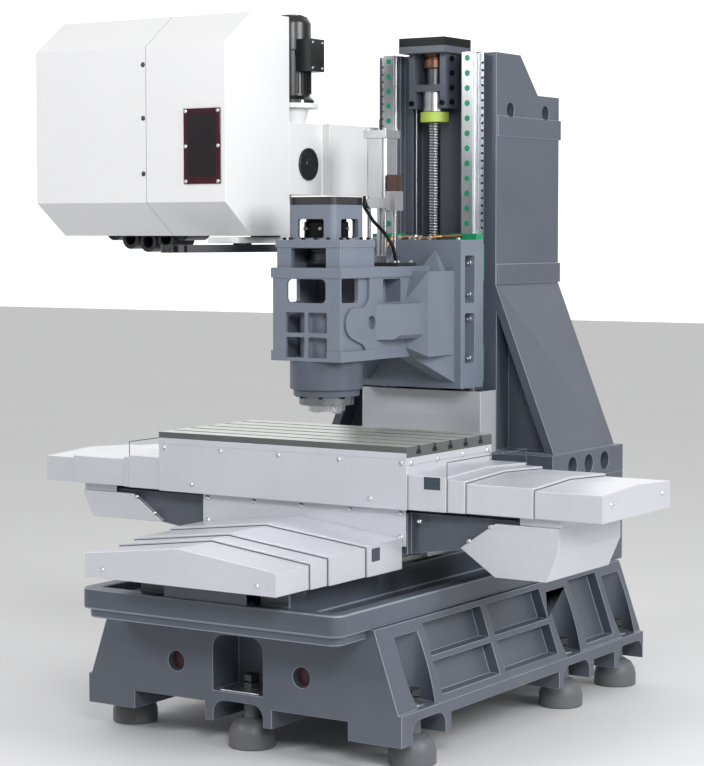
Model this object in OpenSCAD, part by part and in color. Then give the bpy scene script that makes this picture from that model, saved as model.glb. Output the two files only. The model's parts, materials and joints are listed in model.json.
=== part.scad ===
// Vertical machining centre without its enclosure: a C-shaped cast frame with a moving
// saddle and table under telescopic covers, a spindle head on the column's rails and a
// side tool magazine. Origin: centre of the footprint, on the floor. X runs along the
// table, Y from the front to the column, Z up. Millimetres.

/* [Overall] */
// Distance from the column's face forward to the spindle's axis
throat = 718; // [690:1:730]

/* [Travels] */
// Travel of the saddle towards the front
travel_front = 367; // [300:1:370]
// Travel of the saddle towards the column
travel_back = 183; // [150:1:190]
// Travel of the table to each side of the centreline
travel_side = 400; // [350:1:405]
// Travel of the head upwards
travel_up = 550; // [450:1:560]
// Overlap that is left between two covers at full stretch
cover_lap = 12; // [8:1:20]

/* [Bed] */
// Height of the foot blocks' underside above the floor
bed_lift = 86; // [70:1:110]
// Height of the foot blocks
foot_block_h = 60; // [50:1:80]
// Width of a foot block
foot_block_w = 264; // [240:1:270]
// Depth of a foot block, in from the flange's edge
foot_block_d = 196; // [190:1:220]
// Thickness of the metal over the arch in a foot block
arch_over = 30; // [24:1:36]
// Half width of the arch in a foot block
foot_arch_half = 98; // [90:1:104]
// Radius of the arch's corners
foot_arch_r = 44; // [30:1:50]
// Thickness of the bed's bottom flange
ledge_t = 40; // [30:1:60]
// Half width of the bed's bottom flange
bed_half = 615; // [600:1:650]
// Setback of the walls' foot from the edge of the flange
wall_setback = 12; // [8:1:30]
// Height of the sloping walls
wall_h = 254; // [235:1:280]
// Half width of the bed at the top of its walls
wall_top_half = 515; // [508:1:530]
// Setback of the bed's front wall from the front cover's face
bed_front_setback = 308; // [290:1:340]
// Setback of the bed's back wall from the column's foot
bed_back_setback = 54; // [30:1:60]
// Depth of the recessed panels in the side walls
panel_d = 40; // [20:1:50]
// Width of the ribs between the panels
panel_rib = 36; // [24:1:50]
// Radius of the upright scallops over the levelling bolts
scallop_r = 72; // [60:1:76]
// Radius of the round pockets in the front wall
front_hole_r = 33; // [25:1:45]
// Distance of the round pockets from the centreline
front_hole_x = 246; // [200:1:290]
// Height of the round pockets above the flange
front_hole_up = 78; // [60:1:90]
// Half width of the arched pocket in the front wall
arch_half = 98; // [80:1:105]
// Height of the arched pocket above the flange
arch_up = 184; // [160:1:196]
// Radius of the arched pocket's upper corners
pocket_r = 44; // [30:1:60]
// Depth of the arched pocket
arch_d = 140; // [125:1:160]

/* [Rim] */
// Half width of the rim round the chip trough
rim_half = 503; // [495:1:506]
// Height of the rim's upper step
rim_h = 67; // [60:1:80]
// How far the rim overhangs the bed's front wall
rim_overhang = 178; // [120:1:200]
// Height of the lower step under the overhang
rim_step_h = 30; // [20:1:40]
// Inset of the lower step
rim_step_in = 15; // [8:1:25]
// Radius of the rim's front corners
rim_round = 40; // [20:1:60]
// Width of the wall round the trough
trough_wall = 52; // [40:1:70]
// Depth of the chip trough
trough_depth = 37; // [20:1:45]

/* [Levelling feet] */
// Distance of the levelling bolts from the flange's edge
level_inset = 64; // [55:1:75]
// Distance of the first side feet from the front wall
foot_first = 166; // [130:1:190]
// Distance between the middle and the last side feet
foot_pitch = 428; // [400:1:460]
// Distance of the last side feet from the back wall
foot_last = 102; // [90:1:120]
// Distance of the middle front foot from the front wall
foot_middle = 78; // [70:1:90]
// Radius of a levelling mount
pad_r = 76; // [70:1:80]
// Height of a levelling mount's domed cap
pad_h = 98; // [92:1:104]
// Radius of the round under a levelling bolt's nut
collar_r = 27; // [22:1:32]
// Radius of a levelling bolt
bolt_r = 15; // [10:1:18]
// Play of a levelling bolt in its hole
bolt_play = 2; // [1:0.5:3]
// Height of a nut on a levelling bolt
nut_h = 24; // [18:1:30]
// How far a levelling bolt stands over its nut
bolt_stand = 24; // [10:1:40]

/* [Guides] */
// Width of the guide rails
rail_w = 46; // [40:1:52]
// Height of the guide rails
rail_h = 38; // [32:1:42]
// Height of a guide carriage over the rail's seat
carriage_h = 66; // [60:1:72]
// Width of a guide carriage
carriage_w = 110; // [100:1:112]
// Length of a guide carriage
carriage_len = 130; // [110:1:140]
// Height of a carriage's underside over the rail's seat
carriage_up = 8; // [6:1:12]
// Running gap between a carriage and its rail
rail_gap = 0.3; // [0.3:0.1:0.6]
// Radius of the ball screws of the saddle and the table
lead_r = 16; // [12:0.5:18]
// Running gap between a screw and its nut
nut_gap = 0.3; // [0.3:0.1:0.8]

/* [Ways of the bed] */
// Distance of the Y rails from the centreline
y_rail_x = 235; // [225:1:245]
// Width of the Y rails' raised ways
y_seat_w = 110; // [90:1:120]
// Height of the Y rails' ways above the rim
y_seat_h = 45; // [35:1:55]
// Height of the Y screw's axis above the ways
y_screw_up = 30; // [28:1:36]

/* [Saddle] */
// Distance from the spindle's axis back to the table's middle
table_behind = 92; // [80:1:100]
// Half width of the saddle's body
saddle_half = 404; // [395:1:415]
// Half depth of the saddle's body
saddle_half_y = 228; // [222:1:232]
// Height of the saddle's body
saddle_h = 134; // [125:1:145]
// Distance of the front skirt from the saddle's body
skirt_gap = 12; // [10:1:20]
// Height of the saddle's front skirt
saddle_skirt_h = 120; // [110:1:130]
// Half length of the saddle's wings
wing_half = 945; // [930:1:960]
// Half depth of the saddle's wings
wing_half_y = 205; // [190:1:215]
// Thickness of the saddle's wings at their ends
wing_t = 60; // [50:1:75]
// Height of the X rails' seats above the saddle
x_seat_h = 14; // [10:1:20]
// Distance of the X rails from the saddle's middle
x_rail_y = 140; // [130:1:146]
// Distance from the saddle's middle to its Y carriages
saddle_carriage_y = 150; // [140:1:155]

/* [Saddle boxes] */
// Length of the sheet box under each wing
box_len = 350; // [320:1:380]
// Depth of the right box below the saddle's top
box_drop = 182; // [160:1:190]
// Depth of the left box below the saddle's top
box_drop_left = 102; // [100:1:104]
// How far a box stands in front of its wing
box_front = 22; // [10:1:30]
// Length of a box's sloping inner end
box_slope = 126; // [100:1:150]
// Height of a box's inner tip below the saddle's top
box_tip = 98; // [90:1:100]
// Width of the cut at a box's lower outer corner
box_cut = 42; // [20:1:60]
// Wall of a box over the wing's end
box_wall = 4; // [3:0.5:6]

/* [Table] */
// Length of the table
table_len = 1000; // [980:1:1040]
// Depth of the table
table_depth = 550; // [546:1:580]
// Height of the table's top above its carriages
table_rise = 138; // [132:1:160]
// How far the table stands left of the machine's centreline
table_left = 71; // [0:1:90]
// Height of the table's bare edge
table_edge = 36; // [30:1:44]
// Thickness of the table's plate
table_t = 60; // [54:1:62]
// Setback of the plate under its bare edge
table_setback = 6; // [4:1:12]
// Number of T-slots
slots = 5; // [3:1:5]
// Distance between T-slots
slot_pitch = 100; // [90:1:105]
// Width of a T-slot's mouth
slot_w = 18; // [14:1:20]
// Depth of a T-slot's mouth
slot_neck = 16; // [12:1:18]
// Width of a T-slot's foot
slot_foot_w = 30; // [26:1:34]
// Height of a T-slot's foot
slot_foot_h = 13; // [10:1:14]
// Half length of the table's middle body
table_body_half = 204; // [198:1:208]
// Distance from the table's middle to its carriages, along X
table_carriage_x = 130; // [120:1:136]
// Thickness of the sheet skirts
skirt_t = 3; // [2:0.5:4]

/* [Covers] */
// Sheet thickness of the telescopic covers
cover_t = 3; // [2:0.5:3]
// Step from one cover to the next smaller one
cover_step = 8.5; // [8.5:0.5:9.5]
// Running gap of a cover's wiper lip over the next cover
lip_gap = 0.3; // [0.3:0.1:0.6]
// Length of a wiper lip
lip_len = 8; // [6:1:14]
// Gap between the X covers' lower edges and the saddle's top
cover_clear = 16; // [16:1:18]
// Play between the table's skirts and the largest X cover
cover_side_play = 4; // [3:1:6]
// Height of the largest X cover's side
x_cover_side = 112; // [108:1:113]
// Rise of the X covers' ridge
x_cover_rise = 12; // [8:1:12]
// Distance from a wing's end to the covers' outer end
x_cover_past = 161; // [150:1:180]
// Half width of the folded plates on the wings' ends
x_bracket_half = 196; // [180:1:204]
// Length of the X cover on the table's end
x_cover_len_1 = 140; // [120:1:150]
// Stretch of the second cover that shows on the right
x_right_show_2 = 64; // [50:1:66]
// Stretch of the third cover that shows on the right
x_right_show_3 = 238; // [225:1:240]
// Stretch of the second cover that shows on the left
x_left_show_2 = 28; // [20:1:34]
// Stretch of the third cover that shows on the left
x_left_show_3 = 236; // [225:1:240]
// Half width of the front cover's first piece
y_cover_half = 367; // [355:1:370]
// Height of the front cover's lower edge above the rim
y_cover_up = 64; // [58:1:70]
// Height of the largest front cover's side
y_cover_side = 100; // [94:1:106]
// Rise of the front cover's ridge
y_cover_rise = 44; // [30:1:46]
// Stretch of the first piece that shows
y_show_1 = 175; // [160:1:185]
// Stretch of the second piece that shows
y_show_2 = 87; // [75:1:95]
// Stretch of the third piece that shows
y_show_3 = 203; // [190:1:215]
// Stretch of the last piece that shows in front of the saddle
y_show_4 = 204; // [190:1:215]
// Half width of the folded plate under the first piece
y_bracket_half = 160; // [100:1:175]
// Thickness of the folded plates that carry the covers
bracket_sheet = 6; // [4:0.5:8]

/* [Column] */
// Height of the column's seat above the rim
seat_h = 263; // [240:1:280]
// Distance of the seat's front forward of the column's face
seat_forward = 42; // [20:1:60]
// Half width of the column's foot flange and seat
flange_half = 500; // [495:1:506]
// Height of the foot flange
foot_flange_h = 98; // [85:1:110]
// Radius of the round recesses in the foot flange's sides
flange_hole_r = 34; // [28:1:38]
// Distance between those recesses
flange_hole_pitch = 127; // [110:1:135]
// Distance from the column's back to the flange's back
column_inset = 38; // [20:1:60]
// Half width of the column
column_half = 245; // [238:1:248]
// Half width of the column at its foot
foot_half = 483; // [460:1:490]
// Depth of the column
column_depth = 476; // [460:1:490]
// Height of the column above its foot flange
column_h = 1420; // [1400:1:1460]
// Height of the flared part of the column
flare_h = 598; // [560:1:620]
// Width of the rib along the flare's edge
flare_rib = 34; // [25:1:50]
// Depth of the recess in the flare's front
flare_pocket_d = 90; // [40:1:120]
// Depth of the column's flat top
top_flat = 177; // [160:1:190]
// Drop of the column's top behind its flat
top_drop = 138; // [110:1:150]
// Run of the sloping part of the top
top_slope = 134; // [110:1:150]
// Height of the raised bands round the column
band_h = 72; // [60:1:80]
// How far a band stands proud
band_t = 6; // [4:1:8]
// Height of the upper band above the foot flange
upper_band_up = 1125; // [1115:1:1135]
// Radius of the lifting holes
lift_r = 27.5; // [22:0.5:30]
// Distance of the lifting holes below the column's top
lift_down = 200; // [190:1:204]
// Distance of the lifting holes from the column's middle
lift_y = 133; // [120:1:136]
// Half width of the channel for the Z screw
channel_half = 100; // [98:1:104]
// Depth of the channel for the Z screw
channel_d = 66; // [60:1:74]
// Distance of the Z rails from the centreline
z_rail_x = 164; // [162:1:167]
// Height of the Z rails' seats
z_seat_h = 28; // [22:1:34]
// Width of the Z rails' seats
z_seat_w = 58; // [54:1:62]
// How far the Z rails run on below the slide
z_rail_down = 26; // [10:1:40]
// Distance of the sheet apron forward of the column's face
apron_forward = 112; // [104:1:116]
// Height of the gap between the sheet apron and the slide
apron_gap = 16; // [8:1:30]

/* [Z drive] */
// Radius of the Z screw
screw_r = 20; // [16:0.5:22]
// Distance from the Z screw's axis forward to the column's face
screw_forward = 14; // [10:1:18]
// Half width of the screw's upper bracket
z_bracket_half = 76; // [72:1:84]
// Height of the screw's upper bracket below the column's top
z_bracket_h = 194; // [180:1:205]
// How far the bracket stands forward of the screw
z_bracket_forward = 54; // [53:1:60]
// Height of the bracket above the column's top
z_bracket_up = 24; // [20:1:30]
// Thickness of the bracket's cheeks and plates
z_bracket_t = 24; // [18:1:26]
// Height of the bracket's open foot under its cross plate
z_bracket_foot = 60; // [50:1:70]
// Radius of the bearing housing round the screw
z_bearing_r = 38; // [34:1:44]
// How far the bearing housing stands below the bracket
z_bearing_down = 12; // [6:1:20]
// Radius of the bumper under the bracket
bumper_r = 52; // [42:1:56]
// Height of the bumper
bumper_h = 36; // [30:1:46]
// Half width of the Z motor's plate
z_plate_half = 94; // [90:1:97]
// Thickness of the Z motor's plate
z_plate_t = 30; // [24:1:36]
// Radius of the Z motor's pilot bore
z_pilot_r = 57.15; // [55:0.05:60]
// Spacing of the Z motor's bolt holes
z_bolt_pitch = 141.4; // [138:0.1:145]
// Radius of the Z motor's bolt holes
z_bolt_r = 6.75; // [5:0.25:8]

/* [Head] */
// Height of the turning nose's face above the table
nose_up = 85; // [70:1:120]
// Height of the spindle's ring and flange together, from the nose's face
quill_up = 75; // [70:1:80]
// Height of the spindle's wide housing
quill_h = 96; // [90:1:110]
// Half width of the head's box
head_half = 134; // [130:1:138]
// Distance from the spindle's axis forward to the head's front
head_front = 120; // [116:1:124]
// Length of the hollow part of the head
head_hollow = 236; // [220:1:250]
// Height of the head's box
head_h = 309; // [300:1:320]
// Height of the head's flanges
head_flange = 34; // [26:1:36]
// How far the flanges stand proud
head_lip = 6; // [4:1:8]
// Wall of the head's castings
head_wall = 24; // [18:1:28]
// Half width of the head's upper front window
window_half = 77; // [60:1:84]
// Height of the head's windows
window_h = 82; // [70:1:84]
// Radius of the windows' corners
window_r = 18; // [8:1:24]
// Half width of the ribbed lower front window
rib_window_half = 82; // [70:1:88]
// Height of the ribbed lower front window
rib_window_h = 150; // [140:1:154]
// Thickness of the head's floor inside
head_floor = 12; // [10:1:20]
// Depth of the step in the head's sides
side_step = 10; // [6:1:12]
// Radius of the spindle's barrel inside the head
barrel_r = 90; // [80:1:96]
// Half width of the head where it flares out to the slide
flare_half = 205; // [190:1:215]
// Length of the flared part, forward of the slide
flare_len = 176; // [160:1:190]
// Drop of the gussets below the head's box
gusset_drop = 98; // [80:1:105]
// Thickness of the gussets
gusset_t = 56; // [40:1:70]
// Thickness of the ribs in the lower front window
window_rib = 14; // [8:1:20]
// How far the drive housing stands out on the right
bulge = 56; // [40:1:60]
// Height of the drive housing
bulge_h = 119; // [100:1:130]
// Size of the drive housing's broken edges
bulge_edge = 13; // [6:1:20]

/* [Slide] */
// Half width of the Z slide
slide_half = 231; // [226:1:236]
// How far the slide reaches below the head's box
slide_down = 120; // [110:1:130]
// Height of the Z slide
slide_h = 519; // [505:1:524]
// Thickness of the Z slide
slide_t = 127; // [120:1:135]
// Depth of the slide's rear channel
slide_channel_d = 66; // [60:1:72]
// How far the slide's edges reach back beside the carriages
slide_edge = 29; // [20:1:32]
// Depth of the pockets in the slide's sides
slide_pocket = 40; // [30:1:50]
// Distance from the slide's ends to its carriages
z_carriage_in = 80; // [76:1:95]
// Width of the web across the pockets in the slide's sides
slide_web = 34; // [24:1:44]

/* [Spindle] */
// Radius of the spindle's wide housing
quill_r = 123; // [118:0.5:126]
// Radius of the bolted flange under it
quill_flange_r = 111; // [104:0.5:114]
// Radius of the spindle's lower ring
ring_r = 92; // [86:0.5:96]
// Radius of the turning nose
nose_r = 62; // [56:0.5:66]
// Thickness of the turning nose
nose_h = 21; // [18:1:24]
// Radius of the spindle's shaft inside the housing
shaft_r = 42; // [36:0.5:46]
// Gap between the turning nose and the housing
spindle_gap = 0.5; // [0.3:0.1:1]
// Radius of the taper at the spindle's face
taper_r = 22.225; // [20:0.005:24]
// Depth of the taper
taper_d = 65; // [55:1:70]
// Taper of the spindle's bore, in radius per length
taper_rate = 0.1458; // [0.14:0.0001:0.15]

/* [Motor tower] */
// Half width of the tower's foot
tier_half = 126; // [122:1:130]
// Half depth of the tower's foot
tier_half_y = 100; // [98:1:106]
// Height of the tower's foot
tier_h = 92; // [85:1:98]
// Half width and half depth of the tower
tower_half = 94; // [90:1:96]
// Height of the tower
tower_h = 142; // [135:1:150]
// Wall of the tower
tower_wall = 16; // [12:1:20]
// Radius of the tower's corners
tower_r = 24; // [12:1:28]
// Height of the recessed band round the tower's top
tower_band = 26; // [18:1:30]
// Depth of the recessed band
tower_band_d = 7; // [4:1:9]
// Height of the flange round the top of the tower's foot
tier_flange = 24; // [16:1:30]
// Height of the tower's windows
tower_window_h = 63; // [55:1:70]
// Half width of the tower's windows
tower_window_half = 53; // [44:1:56]

/* [Release cylinder] */
// Distance from the spindle's axis back to the cylinder's axis
cylinder_back = 347; // [335:1:352]
// Half width of the release cylinder's body
cylinder_half = 41; // [36:0.5:44]
// Radius of the body's corners
cylinder_round = 16; // [8:1:20]
// Half width of the cylinder's square flanges
cylinder_flange = 46; // [44:1:50]
// Height of the cylinder's upper flange
cylinder_flange_h = 28; // [24:1:34]
// Height of the cylinder's lower flange
cylinder_foot_h = 33; // [28:1:40]
// Height of the cylinder between its flanges
cylinder_h = 207; // [190:1:230]
// Length of the rods that carry the cylinder
rod_len = 165; // [150:1:180]
// Radius of the rods
rod_r = 7; // [6:0.5:9]
// Distance of the rods from the cylinder's axis, along X and along Y
rod_at = 32; // [28:1:36]
// Thickness of the rods' base
rod_base_h = 23; // [18:1:28]
// Thickness of the plate under the rods' base
stand_plate_t = 12; // [8:1:16]
// Width of the valve block on the cylinder's right
valve_w = 36; // [28:1:42]
// Depth of the valve block
valve_d = 54; // [40:1:60]
// Height of the valve block
valve_h = 67; // [56:1:74]

/* [Tool magazine] */
// Left side of the magazine, from the centreline
mag_left = 1104; // [1096:1:1106]
// Width of the magazine's housing
mag_w = 828; // [820:1:835]
// Distance from the spindle's axis forward to the magazine's front
mag_front = 191; // [185:1:200]
// Depth of the magazine's housing
mag_d = 375; // [365:1:385]
// Height of the housing's bottom above the column's foot flange
mag_up = 772; // [760:1:790]
// Height of the magazine's housing
mag_h = 755; // [745:1:770]
// Depth of the slopes at the front, top and bottom
mag_slope_y = 150; // [140:1:154]
// Height of the slopes at the front
mag_slope_z = 114; // [100:1:120]
// Sheet thickness of the housing
mag_t = 4; // [3:0.5:6]
// Width of the edge turned in round the housing's open bottom
mag_turn = 18; // [12:1:24]
// Radius of the tool disc over its pots
disc_r = 340; // [335:1:342]
// Distance of the disc's axis from the housing's left side
disc_in = 359; // [352:1:364]
// How far the disc hangs out below the housing
disc_out = 57; // [50:1:62]
// Clearance of the pots behind the housing's turned-in edge
disc_clear = 8; // [6:1:10]
// Number of tool pots
pots = 24; // [20:2:24]
// Radius of a tool pot
pot_r = 36; // [32:0.5:37]
// Length of a tool pot
pot_len = 120; // [110:1:125]
// Radius of a tool pot's bore
pot_bore = 22; // [18:0.5:24]
// Thickness of the disc's plate
disc_t = 24; // [18:1:30]
// Radius of the disc's hub
hub_r = 85; // [75:1:95]
// Radius of the disc's fixed axle
axle_r = 40; // [34:0.5:44]
// Width of the magazine's window
mag_window_w = 153; // [140:1:160]
// Height of the magazine's window
mag_window_h = 253; // [240:1:260]
// Thickness of the window's frame
mag_window_t = 5; // [4:1:8]

/* [Arm drive] */
// Width of the arm's gearbox
gear_w = 170; // [160:1:190]
// Depth of the arm's gearbox behind the housing
gear_d = 203; // [190:1:215]
// Height of the gearbox's underside above the housing's bottom
gear_up = 142; // [130:1:150]
// Height of the arm's gearbox
gear_h = 252; // [240:1:260]
// Thickness of the bracket beside the column
bracket_t = 31; // [28:1:34]
// Length of the bracket along the column's side
bracket_len = 190; // [150:1:260]
// Radius of the arm's motor
arm_motor_r = 68; // [58:0.5:70]
// Height of the arm's motor
arm_motor_h = 302; // [280:1:306]
// Distance of the motor's axis in from the gearbox's right face
arm_motor_in = 54; // [50:1:60]
// Radius of the motor's flange
arm_flange_r = 92; // [80:1:94]
// Height of the motor's mount on the gearbox
arm_mount_h = 68; // [60:1:76]
// Radius of the round cap on the gearbox's side
gear_cap_r = 57; // [50:1:62]
// Half length of the change arm
arm_half = 276; // [260:1:290]
// Radius of the arm's gripping ends
grip_r = 44; // [40:1:46]
// Thickness of the change arm
arm_t = 26; // [20:1:30]
// Angle of the parked arm
arm_angle = 70; // [66:1:75]
// Radius of the arm's shaft
arm_shaft_r = 32; // [26:1:38]
// Depth of the arm's top below the housing's bottom
arm_down = 30; // [28:1:40]

/* [Hidden] */
$fn = 64;
eps = 0.01;

// Heights from the floor up
flange_z = bed_lift + foot_block_h;
ledge_z = flange_z + ledge_t;
arch_top = ledge_z - arch_over;
wall_top = ledge_z + wall_h;
rim_top = wall_top + rim_h;
y_seat_z = rim_top + y_seat_h;
y_screw_z = y_seat_z + y_screw_up;
saddle_z = y_seat_z + carriage_h;
saddle_top = saddle_z + saddle_h;
x_seat_z = saddle_top + x_seat_h;
table_body_z = x_seat_z + carriage_h;
table_top = table_body_z + table_rise;
table_under = table_top - table_t;
x_cover_z = saddle_top + cover_clear;
y_cover_z = rim_top + y_cover_up;
seat_z = rim_top + seat_h;
flange_top = seat_z + foot_flange_h;
column_top = flange_top + column_h;
flare_top = flange_top + flare_h;
upper_band_z = flange_top + upper_band_up;
lift_z = column_top - lift_down;
nose_z = table_top + nose_up;
quill_z = nose_z + quill_up;
head_z = quill_z + quill_h;
head_top = head_z + head_h;
tier_top = head_top + tier_h;
tower_top = tier_top + tower_h;
slide_z = head_z - slide_down;
slide_top = slide_z + slide_h;
z_rail_z = slide_z - z_rail_down;
z_bracket_z = column_top - z_bracket_h;
z_plate_z = column_top + z_bracket_up;
mag_z = flange_top + mag_up;
mag_top = mag_z + mag_h;
gear_z = mag_z + gear_up;
gear_top = gear_z + gear_h;

// Depth over all, from the front cover's face to the back of the column's foot
machine_depth = y_show_1 + y_show_2 + y_show_3 + y_show_4 + skirt_t + skirt_gap + saddle_half_y
  - table_behind + throat + column_depth + column_inset;

// Places along Y, from the front to the back
front_y = -machine_depth / 2;
back_y = machine_depth / 2;
bed_front_y = front_y + bed_front_setback;
bed_back_y = back_y - bed_back_setback;
rim_front_y = bed_front_y - rim_overhang;
column_back_y = back_y - column_inset;
column_y = column_back_y - column_depth;
column_mid_y = column_y + column_depth / 2;
seat_y = column_y - seat_forward;
spindle_y = column_y - throat;
table_y = spindle_y + table_behind;
skirt_y = table_y - saddle_half_y - skirt_gap - skirt_t;
z_seat_y = column_y - z_seat_h;
slide_back_y = z_seat_y - carriage_h;
slide_y = slide_back_y - slide_t;
screw_y = column_y - screw_forward;
head_y = spindle_y - head_front;
cylinder_y = spindle_y + cylinder_back;
mag_y = spindle_y - mag_front;
mag_back_y = mag_y + mag_d;
gear_back_y = mag_back_y + gear_d;
feet_y = [bed_front_y + foot_first, bed_back_y - foot_last - foot_pitch, bed_back_y - foot_last];
foot_x = bed_half - level_inset;

// Telescopic covers: their outer edges at rest and their lengths
table_x = -table_left;
x_cover_end = wing_half + x_cover_past;
right_travel = travel_side + table_left;
left_travel = travel_side - table_left;
right_1 = table_len / 2 - table_left + x_cover_len_1;
right_2 = right_1 + x_right_show_2;
right_3 = right_2 + x_right_show_3;
left_1 = table_len / 2 + table_left + x_cover_len_1;
left_2 = left_1 + x_left_show_2;
left_3 = left_2 + x_left_show_3;
x_cover_half = table_depth / 2 - skirt_t - cover_side_play;
x_len_2 = max(x_right_show_2 + left_travel / 3, x_left_show_2 + right_travel / 3) + cover_lap;
x_len_3 = max(x_right_show_3 + left_travel / 3, x_left_show_3 + right_travel / 3) + cover_lap;
x_len_4 = max(x_cover_end - right_3 + left_travel / 3, x_cover_end - left_3 + right_travel / 3)
  + cover_lap;
y_edge_2 = front_y + y_show_1;
y_edge_3 = y_edge_2 + y_show_2;
y_edge_4 = y_edge_3 + y_show_3;
y_stretch = travel_back / 3 + cover_lap;
y_largest_half = y_cover_half + 3 * cover_step;

// Tool disc
disc_x = disc_in - mag_left;
disc_z = mag_z + disc_r - disc_out;
disc_mid_y = mag_y + mag_slope_y + mag_turn + disc_clear + pot_len / 2;
mag_right = mag_left - mag_w;
arm_x = -mag_right - arm_shaft_r - 38;
arm_z = mag_z - arm_down - arm_t;

// A box given by its lowest and its highest corner
module span(low, high) {
  translate(low) cube(high - low);
}

// A box that is centred on the machine's centreline
module across(half, y0, y1, z0, z1) {
  span([-half, y0, z0], [half, y1, z1]);
}

// A flat outline in X and Z, extruded along Y
module along_y(y0, y1) {
  translate([0, y1, 0]) rotate([90, 0, 0]) linear_extrude(y1 - y0) children();
}

// A flat outline in Y and Z, extruded along X
module along_x(x0, x1) {
  translate([x0, 0, 0]) rotate([90, 0, 90]) linear_extrude(x1 - x0) children();
}

// The same shape on both sides of the centreline
module both_sides() {
  children();
  mirror([1, 0, 0]) children();
}

// The same shape in front of and behind the plane y = mid
module front_and_back(mid) {
  translate([0, mid, 0]) {
    children();
    mirror([0, 1, 0]) children();
  }
}

// A rectangle with round corners, from one corner to the other
module round_rect(low, high, r) {
  translate([low[0] + r, low[1]]) square([high[0] - low[0] - 2 * r, high[1] - low[1]]);
  translate([low[0], low[1] + r]) square([high[0] - low[0], high[1] - low[1] - 2 * r]);
  for (x = [low[0] + r, high[0] - r], y = [low[1] + r, high[1] - r])
    translate([x, y]) circle(r);
}

// Half width of the bed's sloping wall at height z
function wall_x(z) = bed_half - wall_setback
  - (bed_half - wall_setback - wall_top_half) * (z - ledge_z) / wall_h;

// Bed
module bed() {
  color("slategray") difference() {
    union() {
      along_y(bed_front_y, bed_back_y)
        polygon([
          [-bed_half, flange_z], [bed_half, flange_z], [bed_half, ledge_z],
          [wall_x(ledge_z), ledge_z], [wall_top_half, wall_top], [-wall_top_half, wall_top],
          [-wall_x(ledge_z), ledge_z], [-bed_half, ledge_z]
        ]);
      both_sides() {
        for (y = feet_y)
          span([bed_half - foot_block_d, max(y - foot_block_w / 2, bed_front_y), bed_lift],
            [bed_half, min(y + foot_block_w / 2, bed_back_y), flange_z + eps]);
        span([bed_half - foot_block_d, bed_front_y, bed_lift], [bed_half, feet_y[0], flange_z + eps]);
      }
      across(foot_block_w / 2, bed_front_y, bed_front_y + foot_block_d, bed_lift, flange_z + eps);
      across(flange_half, seat_y, back_y, wall_top - eps, seat_z);
    }
    both_sides() for (y = feet_y) foot_cuts([foot_x, y]);
    both_sides() side_panels();
    front_cuts();
  }
}

// Scallop, bolt hole and arch over one side foot
module foot_cuts(p) {
  translate(p) {
    translate([0, 0, ledge_z]) cylinder(r = scallop_r, h = wall_h - panel_rib);
    bolt_hole();
  }
  along_x(foot_x - foot_arch_half, bed_half + 1) translate([p[1], 0]) foot_arch();
}

module foot_arch() {
  round_rect([-foot_arch_half, bed_lift - foot_block_h], [foot_arch_half, arch_top], foot_arch_r);
}

module bolt_hole() {
  translate([0, 0, bed_lift - 1])
    cylinder(r = bolt_r + bolt_play, h = foot_block_h + ledge_t + 2);
}

// A recess that follows the sloping wall
module wall_recess(y0, y1, z0, z1) {
  along_y(y0, y1) polygon([
    [wall_x(z0) - panel_d, z0], [bed_half + 1, z0], [bed_half + 1, z1],
    [wall_x(z1) - panel_d, z1]
  ]);
}

module side_panels() {
  clear = scallop_r + panel_rib;
  low = ledge_z + panel_rib / 2;
  mid = ledge_z + wall_h / 2;
  high = wall_top - panel_rib / 2;
  y0 = feet_y[0] + clear;
  y1 = feet_y[1] - clear;
  ym = (y0 + y1) / 2;
  for (z = [[low, mid - panel_rib / 4], [mid + panel_rib / 4, high]]) {
    wall_recess(y0, ym - panel_rib / 2, z[0], z[1]);
    wall_recess(ym + panel_rib / 2, y1, z[0], z[1]);
  }
  wall_recess(feet_y[1] + clear, feet_y[2] - clear, low, high);
}

module front_cuts() {
  both_sides() translate([front_hole_x, bed_front_y - 1, ledge_z + front_hole_up])
    rotate([-90, 0, 0]) cylinder(r = front_hole_r, h = 61);
  along_y(bed_front_y - 1, bed_front_y + arch_d) {
    round_rect([-arch_half, ledge_z + pocket_r], [arch_half, ledge_z + arch_up], pocket_r);
    translate([-arch_half, ledge_z]) square([2 * arch_half, arch_up / 2]);
  }
  translate([0, bed_front_y + foot_middle, 0]) bolt_hole();
  along_y(bed_front_y - 1, bed_front_y + foot_middle + foot_arch_half) foot_arch();
}

// Rim round the chip trough, with the ways for the Y rails
module bed_rim() {
  color("slategray") {
    difference() {
      union() {
        translate([0, 0, wall_top]) linear_extrude(rim_h)
          rim_outline(rim_half, rim_front_y, rim_round);
        translate([0, 0, wall_top - rim_step_h]) linear_extrude(rim_step_h + eps)
          intersection() {
            rim_outline(rim_half - rim_step_in, rim_front_y + rim_step_in, rim_round);
            translate([-rim_half, rim_front_y]) square([2 * rim_half, rim_overhang]);
          }
      }
      across(rim_half - trough_wall, rim_front_y + trough_wall, seat_y + 1,
        rim_top - trough_depth, rim_top + 1);
    }
    both_sides()
      span([y_rail_x - y_seat_w / 2, rim_front_y + trough_wall, rim_top - trough_depth - eps],
        [y_rail_x + y_seat_w / 2, seat_y, y_seat_z]);
  }
}

module rim_outline(half, y0, r) {
  round_rect([-half, y0], [half, y0 + 4 * r], r);
  translate([-half, y0 + 2 * r]) square([2 * half, seat_y - y0 - 2 * r]);
}

module levelling_feet() {
  color("dimgray") {
    both_sides() for (y = feet_y) levelling_foot([foot_x, y]);
    levelling_foot([0, bed_front_y + foot_middle]);
  }
}

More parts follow.
